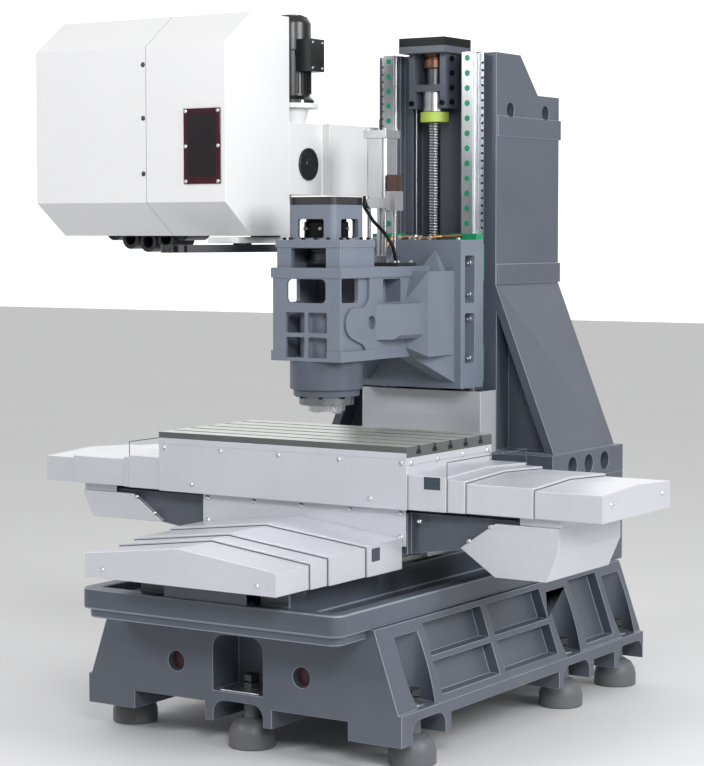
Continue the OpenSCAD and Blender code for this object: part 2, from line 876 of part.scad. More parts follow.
// Mount with a domed cap, its bolt and the nuts under and over the flange
module levelling_foot(p) {
  crown_r = collar_r + 6;
  translate(p) {
    rotate_extrude() polygon([
      [0, 0], [pad_r - 4, 0], [pad_r, 4], [pad_r, pad_h * 0.42], [pad_r * 0.93, pad_h * 0.64],
      [pad_r * 0.78, pad_h * 0.84], [crown_r, pad_h], [0, pad_h]
    ]);
    translate([0, 0, pad_h - eps]) cylinder(r = collar_r, h = arch_top - pad_h + eps);
    translate([0, 0, pad_h]) cylinder(r = bolt_r, h = ledge_z + nut_h + bolt_stand - pad_h);
    translate([0, 0, ledge_z]) cylinder(r = collar_r, h = nut_h, $fn = 6);
  }
}

// Guides
module rail(len) {
  difference() {
    span([-rail_w / 2, 0, 0], [rail_w / 2, len, rail_h]);
    for (s = [-1, 1]) translate([s * rail_w / 2, -1, rail_h * 0.62]) rotate([-90, 0, 0])
      cylinder(r = rail_h / 8, h = len + 2);
  }
}

// A carriage that runs along Y, over a rail whose seat is at z = 0
module carriage() {
  difference() {
    span([-carriage_w / 2, -carriage_len / 2, carriage_up],
      [carriage_w / 2, carriage_len / 2, carriage_h]);
    span([-rail_w / 2 - rail_gap, -carriage_len, 0],
      [rail_w / 2 + rail_gap, carriage_len, rail_h + rail_gap]);
  }
}

module y_rails() {
  y0 = rim_front_y + trough_wall + 15;
  color("silver") both_sides() translate([y_rail_x, y0, y_seat_z]) rail(seat_y - 10 - y0);
}

// Screw of the saddle in its two bearing blocks, on the trough's floor
module y_screw() {
  floor_z = rim_top - trough_depth;
  y0 = rim_front_y + trough_wall + 20;
  y1 = seat_y - 10;
  block_half = 3.25 * lead_r;
  block_l = 3.75 * lead_r;
  color("silver") {
    translate([0, y0, y_screw_z]) rotate([-90, 0, 0]) cylinder(r = lead_r, h = y1 - y0);
    for (y = [y0, y1 - block_l]) across(block_half, y, y + block_l, floor_z, y_screw_z + lead_r + 14);
  }
}

// Column
module column() {
  color("slategray") difference() {
    union() {
      along_x(-column_half, column_half) column_side();
      along_y(column_y, column_back_y) polygon([
        [-foot_half, flange_top - eps], [foot_half, flange_top - eps],
        [column_half, flare_top], [-column_half, flare_top]
      ]);
      across(flange_half, seat_y, back_y, seat_z, flange_top);
      for (z = [flare_top, upper_band_z])
        across(column_half + band_t, column_y + band_t, column_back_y + band_t, z, z + band_h);
      both_sides() span([z_rail_x - z_seat_w / 2, z_seat_y, z_rail_z],
        [z_rail_x + z_seat_w / 2, column_y + 1, column_top]);
    }
    across(channel_half, column_y - 1, column_y + channel_d, z_rail_z - 60, column_top + 1);
    for (y = [-lift_y, lift_y]) translate([0, column_mid_y + y, lift_z]) rotate([0, 90, 0])
      cylinder(r = lift_r, h = 2 * column_half + 40, center = true);
    both_sides() {
      for (i = [-1:1])
        translate([flange_half - 60, column_mid_y + i * flange_hole_pitch,
          seat_z + foot_flange_h / 2]) rotate([0, 90, 0]) cylinder(r = flange_hole_r, h = 61);
      along_y(column_y - 1, column_y + flare_pocket_d) flare_pocket();
    }
  }
}

module column_side() {
  polygon([
    [column_y, flange_top - eps], [column_back_y, flange_top - eps],
    [column_back_y, column_top - top_drop],
    [column_y + top_flat + top_slope, column_top - top_drop],
    [column_y + top_flat, column_top], [column_y, column_top]
  ]);
}

// Triangle inside the flare's rib, above the foot flange
module flare_pocket() {
  slope = (foot_half - column_half) / flare_h;
  inner = column_half + 4;
  low = flange_top + 6;
  polygon([
    [inner, low], [foot_half - flare_rib - slope * 6, low],
    [inner, flange_top + (foot_half - flare_rib - inner) / slope]
  ]);
}

// Sheet apron across the column's foot, behind the table
module column_apron() {
  y0 = column_y - apron_forward;
  z1 = slide_z - apron_gap;
  half = column_half + skirt_t;
  color("gainsboro") difference() {
    across(half, y0, column_y, flange_top, z1);
    across(half - skirt_t, y0 + skirt_t, column_y + 1, flange_top - 1, z1 + 1);
  }
}

module z_rails() {
  color("lightcyan") both_sides() translate([z_rail_x, z_seat_y, z_rail_z])
    rotate([90, 0, 0]) rail(column_top - z_rail_z);
}

// Z screw with its lower bearing block in the column's channel
module z_screw() {
  block = 1.5 * screw_r;
  cross_z = z_bracket_z + z_bracket_foot + z_bracket_t;
  color("silver") {
    translate([0, screw_y, z_rail_z]) cylinder(r = screw_r, h = cross_z - z_rail_z + 8);
    translate([0, screw_y, cross_z + lip_gap]) cylinder(r = block, h = 3 * screw_r);
    across(2 * block, screw_y - 1.5 * block, column_y + channel_d, z_rail_z - block, z_rail_z + block);
  }
}

// Bracket with two cheeks, a cross plate for the bearing and a plate for the motor
module z_screw_bracket() {
  y0 = screw_y - z_bracket_forward;
  y1 = column_y + channel_d;
  inside = z_bracket_half - z_bracket_t;
  cross_z = z_bracket_z + z_bracket_foot;
  color("slategray") difference() {
    union() {
      across(z_bracket_half, y0, y1, z_bracket_z, z_plate_z);
      across(z_plate_half, screw_y - z_plate_half, screw_y + z_plate_half, z_plate_z - z_bracket_t,
        z_plate_z);
    }
    across(inside, y0 - 1, y1 - z_bracket_t, cross_z + z_bracket_t, z_plate_z - z_bracket_t);
    across(inside, y0 - 1, y1 + 1, z_bracket_z - 1, cross_z);
    translate([0, screw_y, cross_z - 1]) cylinder(r = z_bearing_r - 1, h = z_bracket_t + 2);
    translate([0, screw_y, z_plate_z - z_bracket_t - 1]) cylinder(r = inside, h = z_bracket_t + 2);
  }
  color("slategray") translate([0, screw_y, z_bracket_z - z_bearing_down]) difference() {
    cylinder(r = z_bearing_r, h = z_bearing_down + z_bracket_foot + z_bracket_t);
    translate([0, 0, -1]) cylinder(r = screw_r + nut_gap,
      h = z_bearing_down + z_bracket_foot + z_bracket_t + 2);
  }
}

module z_bumper() {
  color("yellowgreen") translate([0, screw_y, z_bracket_z - z_bearing_down - bumper_h]) difference() {
    cylinder(r = bumper_r, h = bumper_h);
    translate([0, 0, -1]) cylinder(r = screw_r + nut_gap, h = bumper_h + 2);
  }
}

module z_motor_plate() {
  color("dimgray") difference() {
    across(z_plate_half, screw_y - z_plate_half, screw_y + z_plate_half, z_plate_z,
      z_plate_z + z_plate_t);
    translate([0, screw_y, z_plate_z - 1]) cylinder(r = z_pilot_r, h = z_plate_t + 2);
    for (x = [-1, 1], y = [-1, 1])
      translate([x * z_bolt_pitch / 2, screw_y + y * z_bolt_pitch / 2, z_plate_z - 1])
        cylinder(r = z_bolt_r, h = z_plate_t + 2);
  }
}

// Saddle
module saddle() {
  hub = 3.25 * lead_r;
  nut_half = 3.75 * lead_r;
  color("slategray") difference() {
    union() {
      across(saddle_half, table_y - saddle_half_y, table_y + saddle_half_y, saddle_z, saddle_top);
      both_sides() along_y(table_y - wing_half_y, table_y + wing_half_y) wing_outline();
      front_and_back(table_y)
        across(wing_half, x_rail_y - 38, x_rail_y + 38, saddle_top - eps, x_seat_z);
      across(hub, table_y - nut_half, table_y + nut_half, y_screw_z - 24, saddle_z + eps);
    }
    translate([0, table_y - nut_half - 1, y_screw_z]) rotate([-90, 0, 0])
      cylinder(r = lead_r + nut_gap, h = 2 * nut_half + 2);
  }
}

// Underside of a wing rises from the body to the tip
module wing_outline() {
  polygon([
    [saddle_half - eps, saddle_z], [wing_half, saddle_top - wing_t],
    [wing_half, saddle_top], [saddle_half - eps, saddle_top]
  ]);
}

module saddle_carriages() {
  color("dimgray") both_sides() front_and_back(table_y)
    translate([y_rail_x, saddle_carriage_y, y_seat_z]) carriage();
}

// Rails and screw of the table, on the saddle
module x_rails() {
  color("silver") {
    front_and_back(table_y) translate([wing_half, x_rail_y, x_seat_z]) rotate([0, 0, 90])
      rail(2 * wing_half);
    translate([-wing_half + 20, table_y, x_seat_z + lead_r + 4]) rotate([0, 90, 0])
      cylinder(r = lead_r, h = 2 * wing_half - 40);
    both_sides() span([wing_half - 80, table_y - 48, saddle_top],
      [wing_half - 20, table_y + 48, x_seat_z + 2 * lead_r + 16]);
  }
}

// Skirt with the front covers' opening; the largest front cover is fixed to it
module saddle_skirt() {
  color("gainsboro") difference() {
    union() {
      across(saddle_half + skirt_t, skirt_y, skirt_y + skirt_t,
        saddle_top + 12 - saddle_skirt_h, saddle_top + 12);
      for (x = [-1, 0, 1]) translate([x * 330, 0, 0])
        across(30, skirt_y + skirt_t - eps, table_y - saddle_half_y, saddle_top - 30, saddle_top);
    }
    along_y(skirt_y - 1, skirt_y + skirt_t + 1) cover_opening();
  }
}

// Sheet boxes under the wings, round the wings' ends; the right one is deeper
module saddle_boxes() {
  color("gainsboro") difference() {
    along_y(table_y - wing_half_y - box_front, table_y + wing_half_y) {
      box_outline(box_drop);
      mirror([1, 0]) box_outline(box_drop_left);
    }
    both_sides() along_y(table_y - wing_half_y, table_y + wing_half_y + 1) wing_outline();
  }
}

module box_outline(drop) {
  x1 = wing_half + box_wall;
  x0 = x1 - box_len;
  top = saddle_top - 12;
  tip = saddle_top - box_tip;
  low = saddle_top - drop;
  polygon([
    [x0, tip], [x0 + box_slope * (tip - low) / (box_drop - box_tip), low], [x1 - box_cut, low],
    [x1, min(low + 2.3 * box_cut, top - 12)], [x1, top],
    [x0 + box_slope, top]
  ]);
}

// Section of a gabled cover, n steps smaller than the largest
module gable(half, z0, side, rise, n) {
  h = half - n * cover_step;
  zs = z0 + side - n * cover_step;
  difference() {
    gable_outline(h, z0, zs, rise);
    translate([0, -eps]) gable_outline(h - cover_t, z0 - 1, zs - cover_t, rise);
  }
}

// Lip at a cover's mouth that rides on the next smaller cover
module lip(half, z0, side, rise, n) {
  h = half - n * cover_step;
  zs = z0 + side - n * cover_step;
  play = cover_step - lip_gap;
  difference() {
    gable_outline(h, z0, zs, rise);
    gable_outline(h - play, z0 - 1, zs - play, rise);
  }
}

module gable_outline(h, z0, zs, rise) {
  polygon([[-h, z0], [-h, zs], [0, zs + rise], [h, zs], [h, z0]]);
}

// Opening that lets the smaller front covers pass under the saddle
module cover_opening() {
  gable_outline(y_largest_half - cover_t, y_cover_z - 1, y_cover_z + y_cover_side - cover_t,
    y_cover_rise);
}

module x_cover(x0, x1, n) {
  color("gainsboro") translate([0, table_y, 0]) {
    along_x(x0, x1) gable(x_cover_half, x_cover_z, x_cover_side, x_cover_rise, n);
    if (n < 3) {
      mouth = x1 > 0 ? x1 - lip_len : x0;
      along_x(mouth, mouth + lip_len)
        lip(x_cover_half, x_cover_z, x_cover_side, x_cover_rise, n);
    }
  }
}

module x_end(x0) {
  color("gainsboro") translate([0, table_y, 0]) along_x(x0, x0 + cover_t)
    gable_outline(x_cover_half - 3 * cover_step, x_cover_z,
      x_cover_z + x_cover_side - 3 * cover_step, x_cover_rise);
}

// Covers on the table's ends, each with a flange up to the table's plate
module x_covers_1() {
  x0 = table_len / 2 - table_setback;
  x_cover(table_x + x0, right_1, 0);
  x_cover(-left_1, table_x - x0, 0);
  color("gainsboro") for (s = [-1, 1]) translate([table_x + s * (x0 + skirt_t / 2), table_y, 0])
    along_x(-skirt_t / 2, skirt_t / 2) difference() {
      translate([-x_cover_half, x_cover_z + x_cover_side / 2])
        square([2 * x_cover_half, table_top - table_edge - x_cover_z - x_cover_side / 2]);
      gable_outline(x_cover_half - cover_t, x_cover_z, x_cover_z + x_cover_side - cover_t,
        x_cover_rise);
    }
}

module x_cover_right_2() x_cover(right_2 - x_len_2, right_2, 1);
module x_cover_left_2() x_cover(-left_2, x_len_2 - left_2, 1);
module x_cover_right_3() x_cover(right_3 - x_len_3, right_3, 2);
module x_cover_left_3() x_cover(-left_3, x_len_3 - left_3, 2);

module x_cover_right_4() {
  x_cover(x_cover_end - x_len_4, x_cover_end, 3);
  x_end(x_cover_end - cover_t);
}

module x_cover_left_4() {
  x_cover(-x_cover_end, x_len_4 - x_cover_end, 3);
  x_end(-x_cover_end);
}

// Folded plates that carry the outermost covers on the wings' ends
module x_cover_brackets() {
  x1 = x_cover_end - cover_t;
  half = x_bracket_half;
  z0 = saddle_top - 12;
  z1 = x_cover_z + 14 + bracket_sheet;
  y0 = -wing_half_y - box_front / 2;
  color("gainsboro") both_sides() translate([0, table_y, 0]) {
    span([wing_half, -half, z0], [wing_half + bracket_sheet, half, z1]);
    span([wing_half, -half, z1 - bracket_sheet], [x1, half, z1]);
    span([x1 - bracket_sheet, -half, z1 - bracket_sheet], [x1, half, z1 + 40]);
    span([wing_half - half / 2 - 40, y0, z0], [wing_half + bracket_sheet, y0 + skirt_t, z1 - bracket_sheet]);
    span([wing_half, y0, z0], [wing_half + bracket_sheet, -half + 1, z1 - bracket_sheet]);
  }
}

// Table
module table() {
  half = table_len / 2;
  half_y = table_depth / 2;
  nut_half = 4.4 * lead_r;
  color("darkseagreen") translate([table_x, table_y, 0]) difference() {
    union() {
      span([-half, -half_y, table_top - table_edge], [half, half_y, table_top]);
      span([-half + table_setback, -half_y + table_setback, table_under],
        [half - table_setback, half_y - table_setback, table_top - table_edge + eps]);
      span([-table_body_half, -x_rail_y - carriage_w / 2, table_body_z],
        [table_body_half, x_rail_y + carriage_w / 2, table_under + eps]);
      span([-nut_half, -2.75 * lead_r, x_seat_z + 4], [nut_half, 2.75 * lead_r, table_body_z + eps]);
    }
    for (i = [0:slots - 1]) translate([0, (i - (slots - 1) / 2) * slot_pitch, table_top]) {
      span([-half - 1, -slot_w / 2, -slot_neck - eps], [half + 1, slot_w / 2, 1]);
      span([-half - 1, -slot_foot_w / 2, -slot_neck - slot_foot_h],
        [half + 1, slot_foot_w / 2, -slot_neck]);
    }
    translate([-nut_half - 1, 0, x_seat_z + lead_r + 4]) rotate([0, 90, 0])
      cylinder(r = lead_r + nut_gap, h = 2 * nut_half + 2);
  }
}

module table_skirt() {
  half = table_len / 2;
  half_y = table_depth / 2;
  z1 = table_top - table_edge;
  color("gainsboro") translate([table_x, table_y, 0]) difference() {
    span([-half, -half_y, saddle_top + 14], [half, half_y, z1]);
    span([-half - 1, -half_y + skirt_t, saddle_top], [half + 1, half_y - skirt_t, table_under]);
    span([-half + skirt_t, -half_y + skirt_t, table_under - 1], [half - skirt_t, half_y - skirt_t, z1 + 1]);
  }
}

module table_carriages() {
  color("dimgray") for (x = [-1, 1], y = [-1, 1])
    translate([table_x + x * table_carriage_x, table_y + y * x_rail_y, x_seat_z])
      rotate([0, 0, 90]) carriage();
}

// Front covers
module y_cover(y0, y1, n) {
  color("gainsboro") {
    along_y(y0, y1) gable(y_largest_half, y_cover_z, y_cover_side, y_cover_rise, n);
    if (n < 3) along_y(y0, y0 + lip_len)
      lip(y_largest_half, y_cover_z, y_cover_side, y_cover_rise, n);
  }
}

module y_cover_1() {
  y_cover(front_y, y_edge_2 + y_stretch, 3);
  color("gainsboro") along_y(front_y, front_y + cover_t)
    gable_outline(y_cover_half, y_cover_z, y_cover_z + y_cover_side - 3 * cover_step, y_cover_rise);
}

module y_cover_2() y_cover(y_edge_2, y_edge_3 + y_stretch, 2);
module y_cover_3() y_cover(y_edge_3, y_edge_4 + y_stretch, 1);
module y_cover_4() y_cover(y_edge_4, skirt_y, 0);

// Folded plate that carries the first front cover on the rim
module y_cover_bracket() {
  y0 = rim_front_y + bracket_sheet;
  y1 = front_y + cover_t;
  z1 = y_cover_z + 20;
  half = y_bracket_half;
  t = bracket_sheet;
  color("dimgray") {
    across(half, y0, y0 + trough_wall - 2 * t, rim_top, rim_top + t);
    across(half, y0, y0 + t, rim_top, z1);
    across(half, y1, y0 + t, z1, z1 + t);
    across(half, y1, y1 + t, z1, z1 + 6 * t);
  }
}

// Points of an arc about c, from angle a0 to a1
function arc(c, r, a0, a1) =
  [for (i = [0:6]) c + r * [cos(a0 + (a1 - a0) * i / 6), sin(a0 + (a1 - a0) * i / 6)]];

// Raised part of the head's side: a rounded lug that reaches forward under the first window
module side_raised(low, high) {
  r = window_h * 0.56;
  lug_y = spindle_y - 34;
  lug_z = head_z + head_h * 0.405;
  polygon(concat(
    [[slide_y - flare_len + 1, low], [slide_y - flare_len + 1, high], [lug_y + 2 * r, high]],
    arc([lug_y + r, lug_z + 2.1 * r], r, 0, -90),
    arc([lug_y, lug_z], 1.1 * r, 90, 248),
    arc([lug_y + 0.72 * r, lug_z - 2.3 * r], 0.85 * r, 88, 0),
    [[lug_y + 1.57 * r, low]]
  ));
}

// Half of the head's flare, which widens from its sides to the slide
module head_flare(low, high) {
  y0 = slide_y - flare_len - 35;
  hull() {
    span([0, y0, low], [head_half - 1, slide_y, head_z + head_h / 1.6]);
    span([0, slide_y - flare_len, head_z], [flare_half, slide_y, high]);
  }
  hull() {
    span([head_half - gusset_t, slide_y - flare_len, head_z], [head_half, slide_y, head_z + 1]);
    span([flare_half - gusset_t, slide_y - 1, head_z - gusset_drop], [flare_half, slide_y, head_z + 1]);
  }
}

// Drive housing on the head's right side
module drive_housing() {
  y0 = spindle_y + 99;
  y1 = slide_y - flare_len + 7;
  z1 = head_top - head_flange - window_h - 8;
  z0 = z1 - bulge_h;
  x1 = head_half + bulge;
  intersection() {
    along_y(y0, y1) polygon([
      [0, z0], [x1 - bulge_edge, z0], [x1, z0 + bulge_edge], [x1, z1 - bulge_edge / 2],
      [x1 - bulge_edge / 2, z1], [0, z1]
    ]);
    translate([0, 0, z0 - 1]) linear_extrude(bulge_h + 2) polygon([
      [head_half - side_step - 4, y0], [head_half, y0], [x1, y0 + bulge], [x1, y1],
      [head_half - side_step - 4, y1]
    ]);
  }
}

module head() {
  y0 = head_y;
  y1 = head_y + head_hollow;
  low = head_z + head_flange;
  high = head_top - head_flange;
  wall_half = head_half - side_step;
  hollow_half = head_half - head_wall;
  window_z = high - window_h;
  color("slategray") difference() {
    union() {
      across(wall_half, y0, slide_y, head_z, head_top);
      across(head_half, y0, y0 + head_wall / 2, head_z, head_top);
      both_sides() {
        along_x(hollow_half, head_half) side_raised(head_z, head_top);
        head_flare(low, head_top - head_flange / 2);
      }
      across(head_half + head_lip, y0 - head_lip / 2, spindle_y + 84, head_z, low);
      across(head_half + head_lip, y0 - head_lip / 2, slide_y - flare_len / 2, high, head_top);
      drive_housing();
      both_sides() translate([flare_half - 78, slide_y, 0]) hull() {
        span([-40, -36, high], [40, 0, high + 20]);
        span([-4, -3, slide_top - 46], [4, 0, slide_top - 40]);
      }
    }
    difference() {
      across(hollow_half, y0 + head_wall / 2, y1, head_z + head_floor, high);
      translate([0, spindle_y, head_z]) cylinder(r = barrel_r, h = head_floor + rib_window_h);
    }
    along_y(y0 - 10, y0 + head_wall + 1) {
      round_rect([-window_half, window_z], [window_half, high - 3], window_r);
      for (x = [-1, 1], z = [0, 1]) {
        w = rib_window_half - window_rib / 2;
        h = (rib_window_h - window_rib) / 2;
        x0 = x > 0 ? window_rib / 2 : -window_rib / 2 - w;
        z0 = head_z + head_floor + z * (h + window_rib);
        round_rect([x0, z0], [x0 + w, z0 + h], window_r / 3);
      }
    }
    along_x(-head_half - bulge, head_half + bulge)
      round_rect([y0 + 9, window_z], [y0 + 124, high], window_r / 2);
    both_sides() {
      along_x(head_half - 60, head_half + 20)
        round_rect([spindle_y + 143, window_z - 4], [spindle_y + 255, high - 6], window_r / 3);
      translate([head_half - 20, spindle_y + 73, head_z + head_h * 0.405]) rotate([0, 90, 0])
        cylinder(r = 23, h = 40);
    }
  }
}

// Slide that carries the head on the column's rails
module z_slide() {
  edge = z_rail_x + carriage_w / 2 + 1;
  web_z = slide_z + slide_h * 0.54;
  color("slategray") difference() {
    union() {
      across(slide_half, slide_y, slide_back_y, slide_z, slide_top);
      both_sides() span([edge, slide_back_y - eps, slide_z],
        [slide_half, slide_back_y + slide_edge, slide_top]);
      across(46, slide_back_y - slide_channel_d - eps, screw_y + 34, slide_z + 200, slide_z + 310);
    }
    difference() {
      across(channel_half + 4, slide_back_y - slide_channel_d, slide_back_y + 1, slide_z - 1, slide_top + 1);
      across(46, slide_back_y - slide_channel_d - 1, slide_back_y + 2, slide_z + 200, slide_z + 310);
    }
    translate([0, screw_y, slide_z + 199]) cylinder(r = screw_r + nut_gap, h = 112);
    both_sides() for (z = [[slide_z + 86, web_z - slide_web / 2], [web_z + slide_web / 2, slide_top - 54]])
      along_x(slide_half - slide_pocket, slide_half + 1)
        round_rect([slide_y + 28, z[0]], [slide_y + 96, z[1]], window_r / 2);
  }
}

module z_carriages() {
  color("seagreen") both_sides() for (z = [slide_z + z_carriage_in, slide_top - z_carriage_in])
    translate([z_rail_x, z_seat_y, z]) rotate([90, 0, 0]) carriage();
}

// Spindle
module spindle_housing() {
  z_ring = nose_z + nose_h;
  z_flange = z_ring + 31;
  bore = shaft_r + spindle_gap;
  color("silver") translate([0, spindle_y, 0]) rotate_extrude() polygon([
    [bore, z_ring + spindle_gap], [ring_r, z_ring + spindle_gap], [ring_r, z_flange],
    [quill_flange_r, z_flange], [quill_flange_r, quill_z], [quill_r, quill_z],
    [quill_r, head_z], [bore, head_z]
  ]);
}

module spindle_nose() {
  tip_r = taper_r - taper_d * taper_rate;
  color("silver") translate([0, spindle_y, 0]) {
    rotate_extrude() polygon([
      [taper_r, nose_z], [nose_r, nose_z], [nose_r, nose_z + nose_h],
      [shaft_r, nose_z + nose_h], [shaft_r, head_z - 10], [tip_r, head_z - 10],
      [tip_r, nose_z + taper_d]
    ]);
    for (s = [-1, 1])
      span([s * 42 - 12, -8, nose_z - 8], [s * 42 + 12, 8, nose_z + eps]);
  }
}

// Tower for the spindle's motor
module motor_tower() {
  window_z = tier_top + 6;
  color("slategray") translate([0, spindle_y, 0]) {
    difference() {
      union() {
        across(tier_half, -tier_half_y - 7, tier_half_y, head_top, tier_top);
        across(tier_half + 4, -tier_half_y - 11, tier_half_y, tier_top - tier_flange, tier_top);
      }
      across(tier_half - 2 * tower_wall, -tier_half_y + tower_wall, tier_half_y - tower_wall,
        head_top + tower_wall, tier_top - tower_wall);
      across(70, -tier_half_y - 12, 0, head_top - 1, tier_top - tier_flange - 3);
    }
    difference() {
      translate([0, 0, tier_top - eps]) linear_extrude(tower_h + eps) difference() {
        round_rect([-tower_half, -tower_half], [tower_half, tower_half], tower_r);
        inside = tower_half - tower_wall;
        round_rect([-inside, -inside], [inside, inside], tower_r / 2);
      }
      for (a = [0:90:270]) rotate([0, 0, a]) {
        span([tower_r - tower_half, -tower_half - 1, tower_top - tower_band],
          [tower_half - tower_r, -tower_half + tower_band_d, tower_top + 1]);
      }
      for (a = [0, 90]) rotate([0, 0, a]) along_y(-tower_half - 1, tower_half + 1)
        round_rect([-tower_window_half, window_z],
          [tower_window_half, window_z + tower_window_h], window_r / 2);
    }
    difference() {
      across(tower_half - tower_wall + 1, -tower_half + tower_wall - 1, tower_half - tower_wall + 1,
        tower_top - tower_wall, tower_top);
      translate([0, 0, tower_top - tower_wall - 1]) cylinder(r = z_pilot_r, h = tower_wall + 2);
    }
  }
}

// Release cylinder on its rods
module cylinder_stand() {
  z0 = head_top + stand_plate_t;
  z1 = z0 + rod_base_h + rod_len;
  h = cylinder_flange;
  color("silver") translate([0, cylinder_y, 0]) {
    span([-h - 14, -h - 14, head_top], [2.2 * h, 1.4 * h, z0]);
    across(h, -h, h, z0, z0 + rod_base_h);
    for (x = [-rod_at, rod_at], y = [-rod_at, rod_at])
      translate([x, y, z0 + rod_base_h]) cylinder(r = rod_r, h = rod_len);
    translate([0, 0, z0 + rod_base_h]) cylinder(r = 1.6 * rod_r, h = rod_len);
    across(h, -h, h, z1, z1 + cylinder_foot_h);
    span([h - eps, -h, z1 - 9], [h + valve_w, -h + valve_d, z1 - 9 + valve_h]);
  }
}

module release_cylinder() {
  z0 = head_top + stand_plate_t + rod_base_h + rod_len + cylinder_foot_h;
  z1 = z0 + cylinder_h + cylinder_flange_h;
  h = cylinder_half;
  color("silver") translate([0, cylinder_y, 0]) {
    translate([0, 0, z0]) linear_extrude(cylinder_h + eps) round_rect([-h, -h], [h, h], cylinder_round);
    across(cylinder_flange, -cylinder_flange, cylinder_flange, z1 - cylinder_flange_h, z1);
  }
}

// Valve's coil on the block beside the cylinder
module cylinder_valve() {
  z0 = head_top + stand_plate_t + rod_base_h + rod_len - 9 + valve_h;
  color("saddlebrown") translate([cylinder_flange, cylinder_y - cylinder_flange, z0])
    span([0, 4, 0], [valve_w - 6, valve_d - 4, 56]);
}

// Tool magazine
module mag_outline(t) {
  y0 = mag_y + t;
  y1 = mag_back_y - t;
  k = t * 0.45;
  polygon([
    [y0, mag_z + mag_slope_z + k], [y0, mag_top - mag_slope_z - k],
    [mag_y + mag_slope_y + k, mag_top - t], [y1, mag_top - t],
    [y1, mag_z + t], [mag_y + mag_slope_y + k, mag_z + t]
  ]);
}

module magazine_housing() {
  y0 = mag_y + mag_slope_y + mag_turn;
  color("whitesmoke") difference() {
    along_x(-mag_left, -mag_right) mag_outline(0);
    along_x(-mag_left + mag_t, -mag_right - mag_t) mag_outline(mag_t);
    span([-mag_left + mag_turn, y0, mag_z - 1],
      [-mag_right - mag_turn, mag_back_y - mag_turn, mag_z + mag_t + 1]);
    along_y(mag_y - 1, mag_y + mag_t + 1) mag_window_outline(mag_turn / 2);
  }
}

module mag_window_outline(inset) {
  x1 = -mag_right - mag_turn;
  z1 = mag_top - mag_slope_z - 214;
  translate([x1 - mag_window_w + inset, z1 - mag_window_h + inset])
    square([mag_window_w - 2 * inset, mag_window_h - 2 * inset]);
}

module magazine_window() {
  color("maroon") along_y(mag_y - mag_window_t, mag_y) mag_window_outline(0);
}

// Fixed axle of the tool disc, on the housing's back
module magazine_axle() {
  color("dimgray") translate([disc_x, 0, disc_z]) {
    along_y(disc_mid_y - pot_len / 2, mag_back_y - mag_t) circle(axle_r);
    along_y(disc_mid_y + pot_len / 2 + 12, mag_back_y - mag_t) circle(hub_r);
  }
}

module tool_disc() {
  pitch_r = disc_r - pot_r;
  color("black") translate([disc_x, 0, disc_z]) difference() {
    union() {
      along_y(disc_mid_y - disc_t / 2, disc_mid_y + disc_t / 2) circle(pitch_r);
      along_y(disc_mid_y - disc_t, disc_mid_y + pot_len / 2) circle(hub_r);
      for (i = [0:pots - 1]) rotate([0, i * 360 / pots, 0]) translate([0, 0, pitch_r])
        along_y(disc_mid_y - pot_len / 2, disc_mid_y + pot_len / 2) circle(pot_r);
    }
    along_y(disc_mid_y - pot_len, disc_mid_y + pot_len) circle(axle_r + spindle_gap);
    for (i = [0:pots - 1]) rotate([0, i * 360 / pots, 0]) translate([0, 0, pitch_r])
      along_y(disc_mid_y - pot_len / 2 - 1, disc_mid_y + pot_len / 4) circle(pot_bore);
    for (i = [0:5]) rotate([0, 30 + i * 60, 0]) translate([0, 0, (hub_r + pitch_r) / 2])
      along_y(disc_mid_y - disc_t, disc_mid_y + disc_t) circle((pitch_r - hub_r) / 4);
  }
}

// Bracket on the column's left side, with the arm's gearbox in front of it
module magazine_bracket() {
  color("white") along_x(-column_half - bracket_t, -column_half) polygon([
    [gear_back_y, gear_z], [column_y + bracket_len, gear_z],
    [column_y + bracket_len, upper_band_z - 5], [column_y, upper_band_z - 5],
    [column_y - 6, gear_top], [gear_back_y, gear_top]
  ]);
}

module arm_gearbox() {
  x1 = -mag_right;
  carrier = mag_z - 4;
  color("white") {
    span([x1 - gear_w, mag_back_y, gear_z], [x1, gear_back_y, gear_top]);
    span([x1 - gear_w, mag_back_y, carrier - 21], [x1 - 40, mag_back_y + 70, gear_z + eps]);
    span([x1 - gear_w, spindle_y - 2 * arm_shaft_r, carrier - 21],
      [x1 - 40, mag_back_y + 70, carrier]);
    translate([x1 - arm_motor_in, mag_back_y + arm_flange_r + 2, gear_top - eps]) {
      cylinder(r1 = arm_flange_r / 2, r2 = 0.66 * arm_flange_r, h = arm_mount_h - 17 + eps);
      translate([0, 0, arm_mount_h - 17]) cylinder(r = arm_flange_r, h = 17);
    }
  }
}

// Round cap over the cam's shaft, on the gearbox's right side
module gearbox_cap() {
  color("black") translate([-mag_right, mag_back_y + gear_d / 2 + 10, gear_z + 0.43 * gear_h])
    rotate([0, 90, 0]) {
      cylinder(r = gear_cap_r, h = 8);
      translate([0, 0, 8 - eps]) cylinder(r = gear_cap_r / 3, h = 4);
    }
}

module arm_motor() {
  r = arm_motor_r;
  h = arm_motor_h;
  color("black") translate([-mag_right - arm_motor_in, mag_back_y + arm_flange_r + 2,
    gear_top + arm_mount_h]) {
    rotate_extrude() polygon([
      [0, 0], [r + 10, 0], [r + 10, 12], [r - 4, 26], [r - 4, 0.6 * h], [r, 0.61 * h],
      [r, h - 24], [r - 14, h], [0, h]
    ]);
    span([0, -46, 0.36 * h], [r + 42, 40, 0.73 * h]);
  }
}

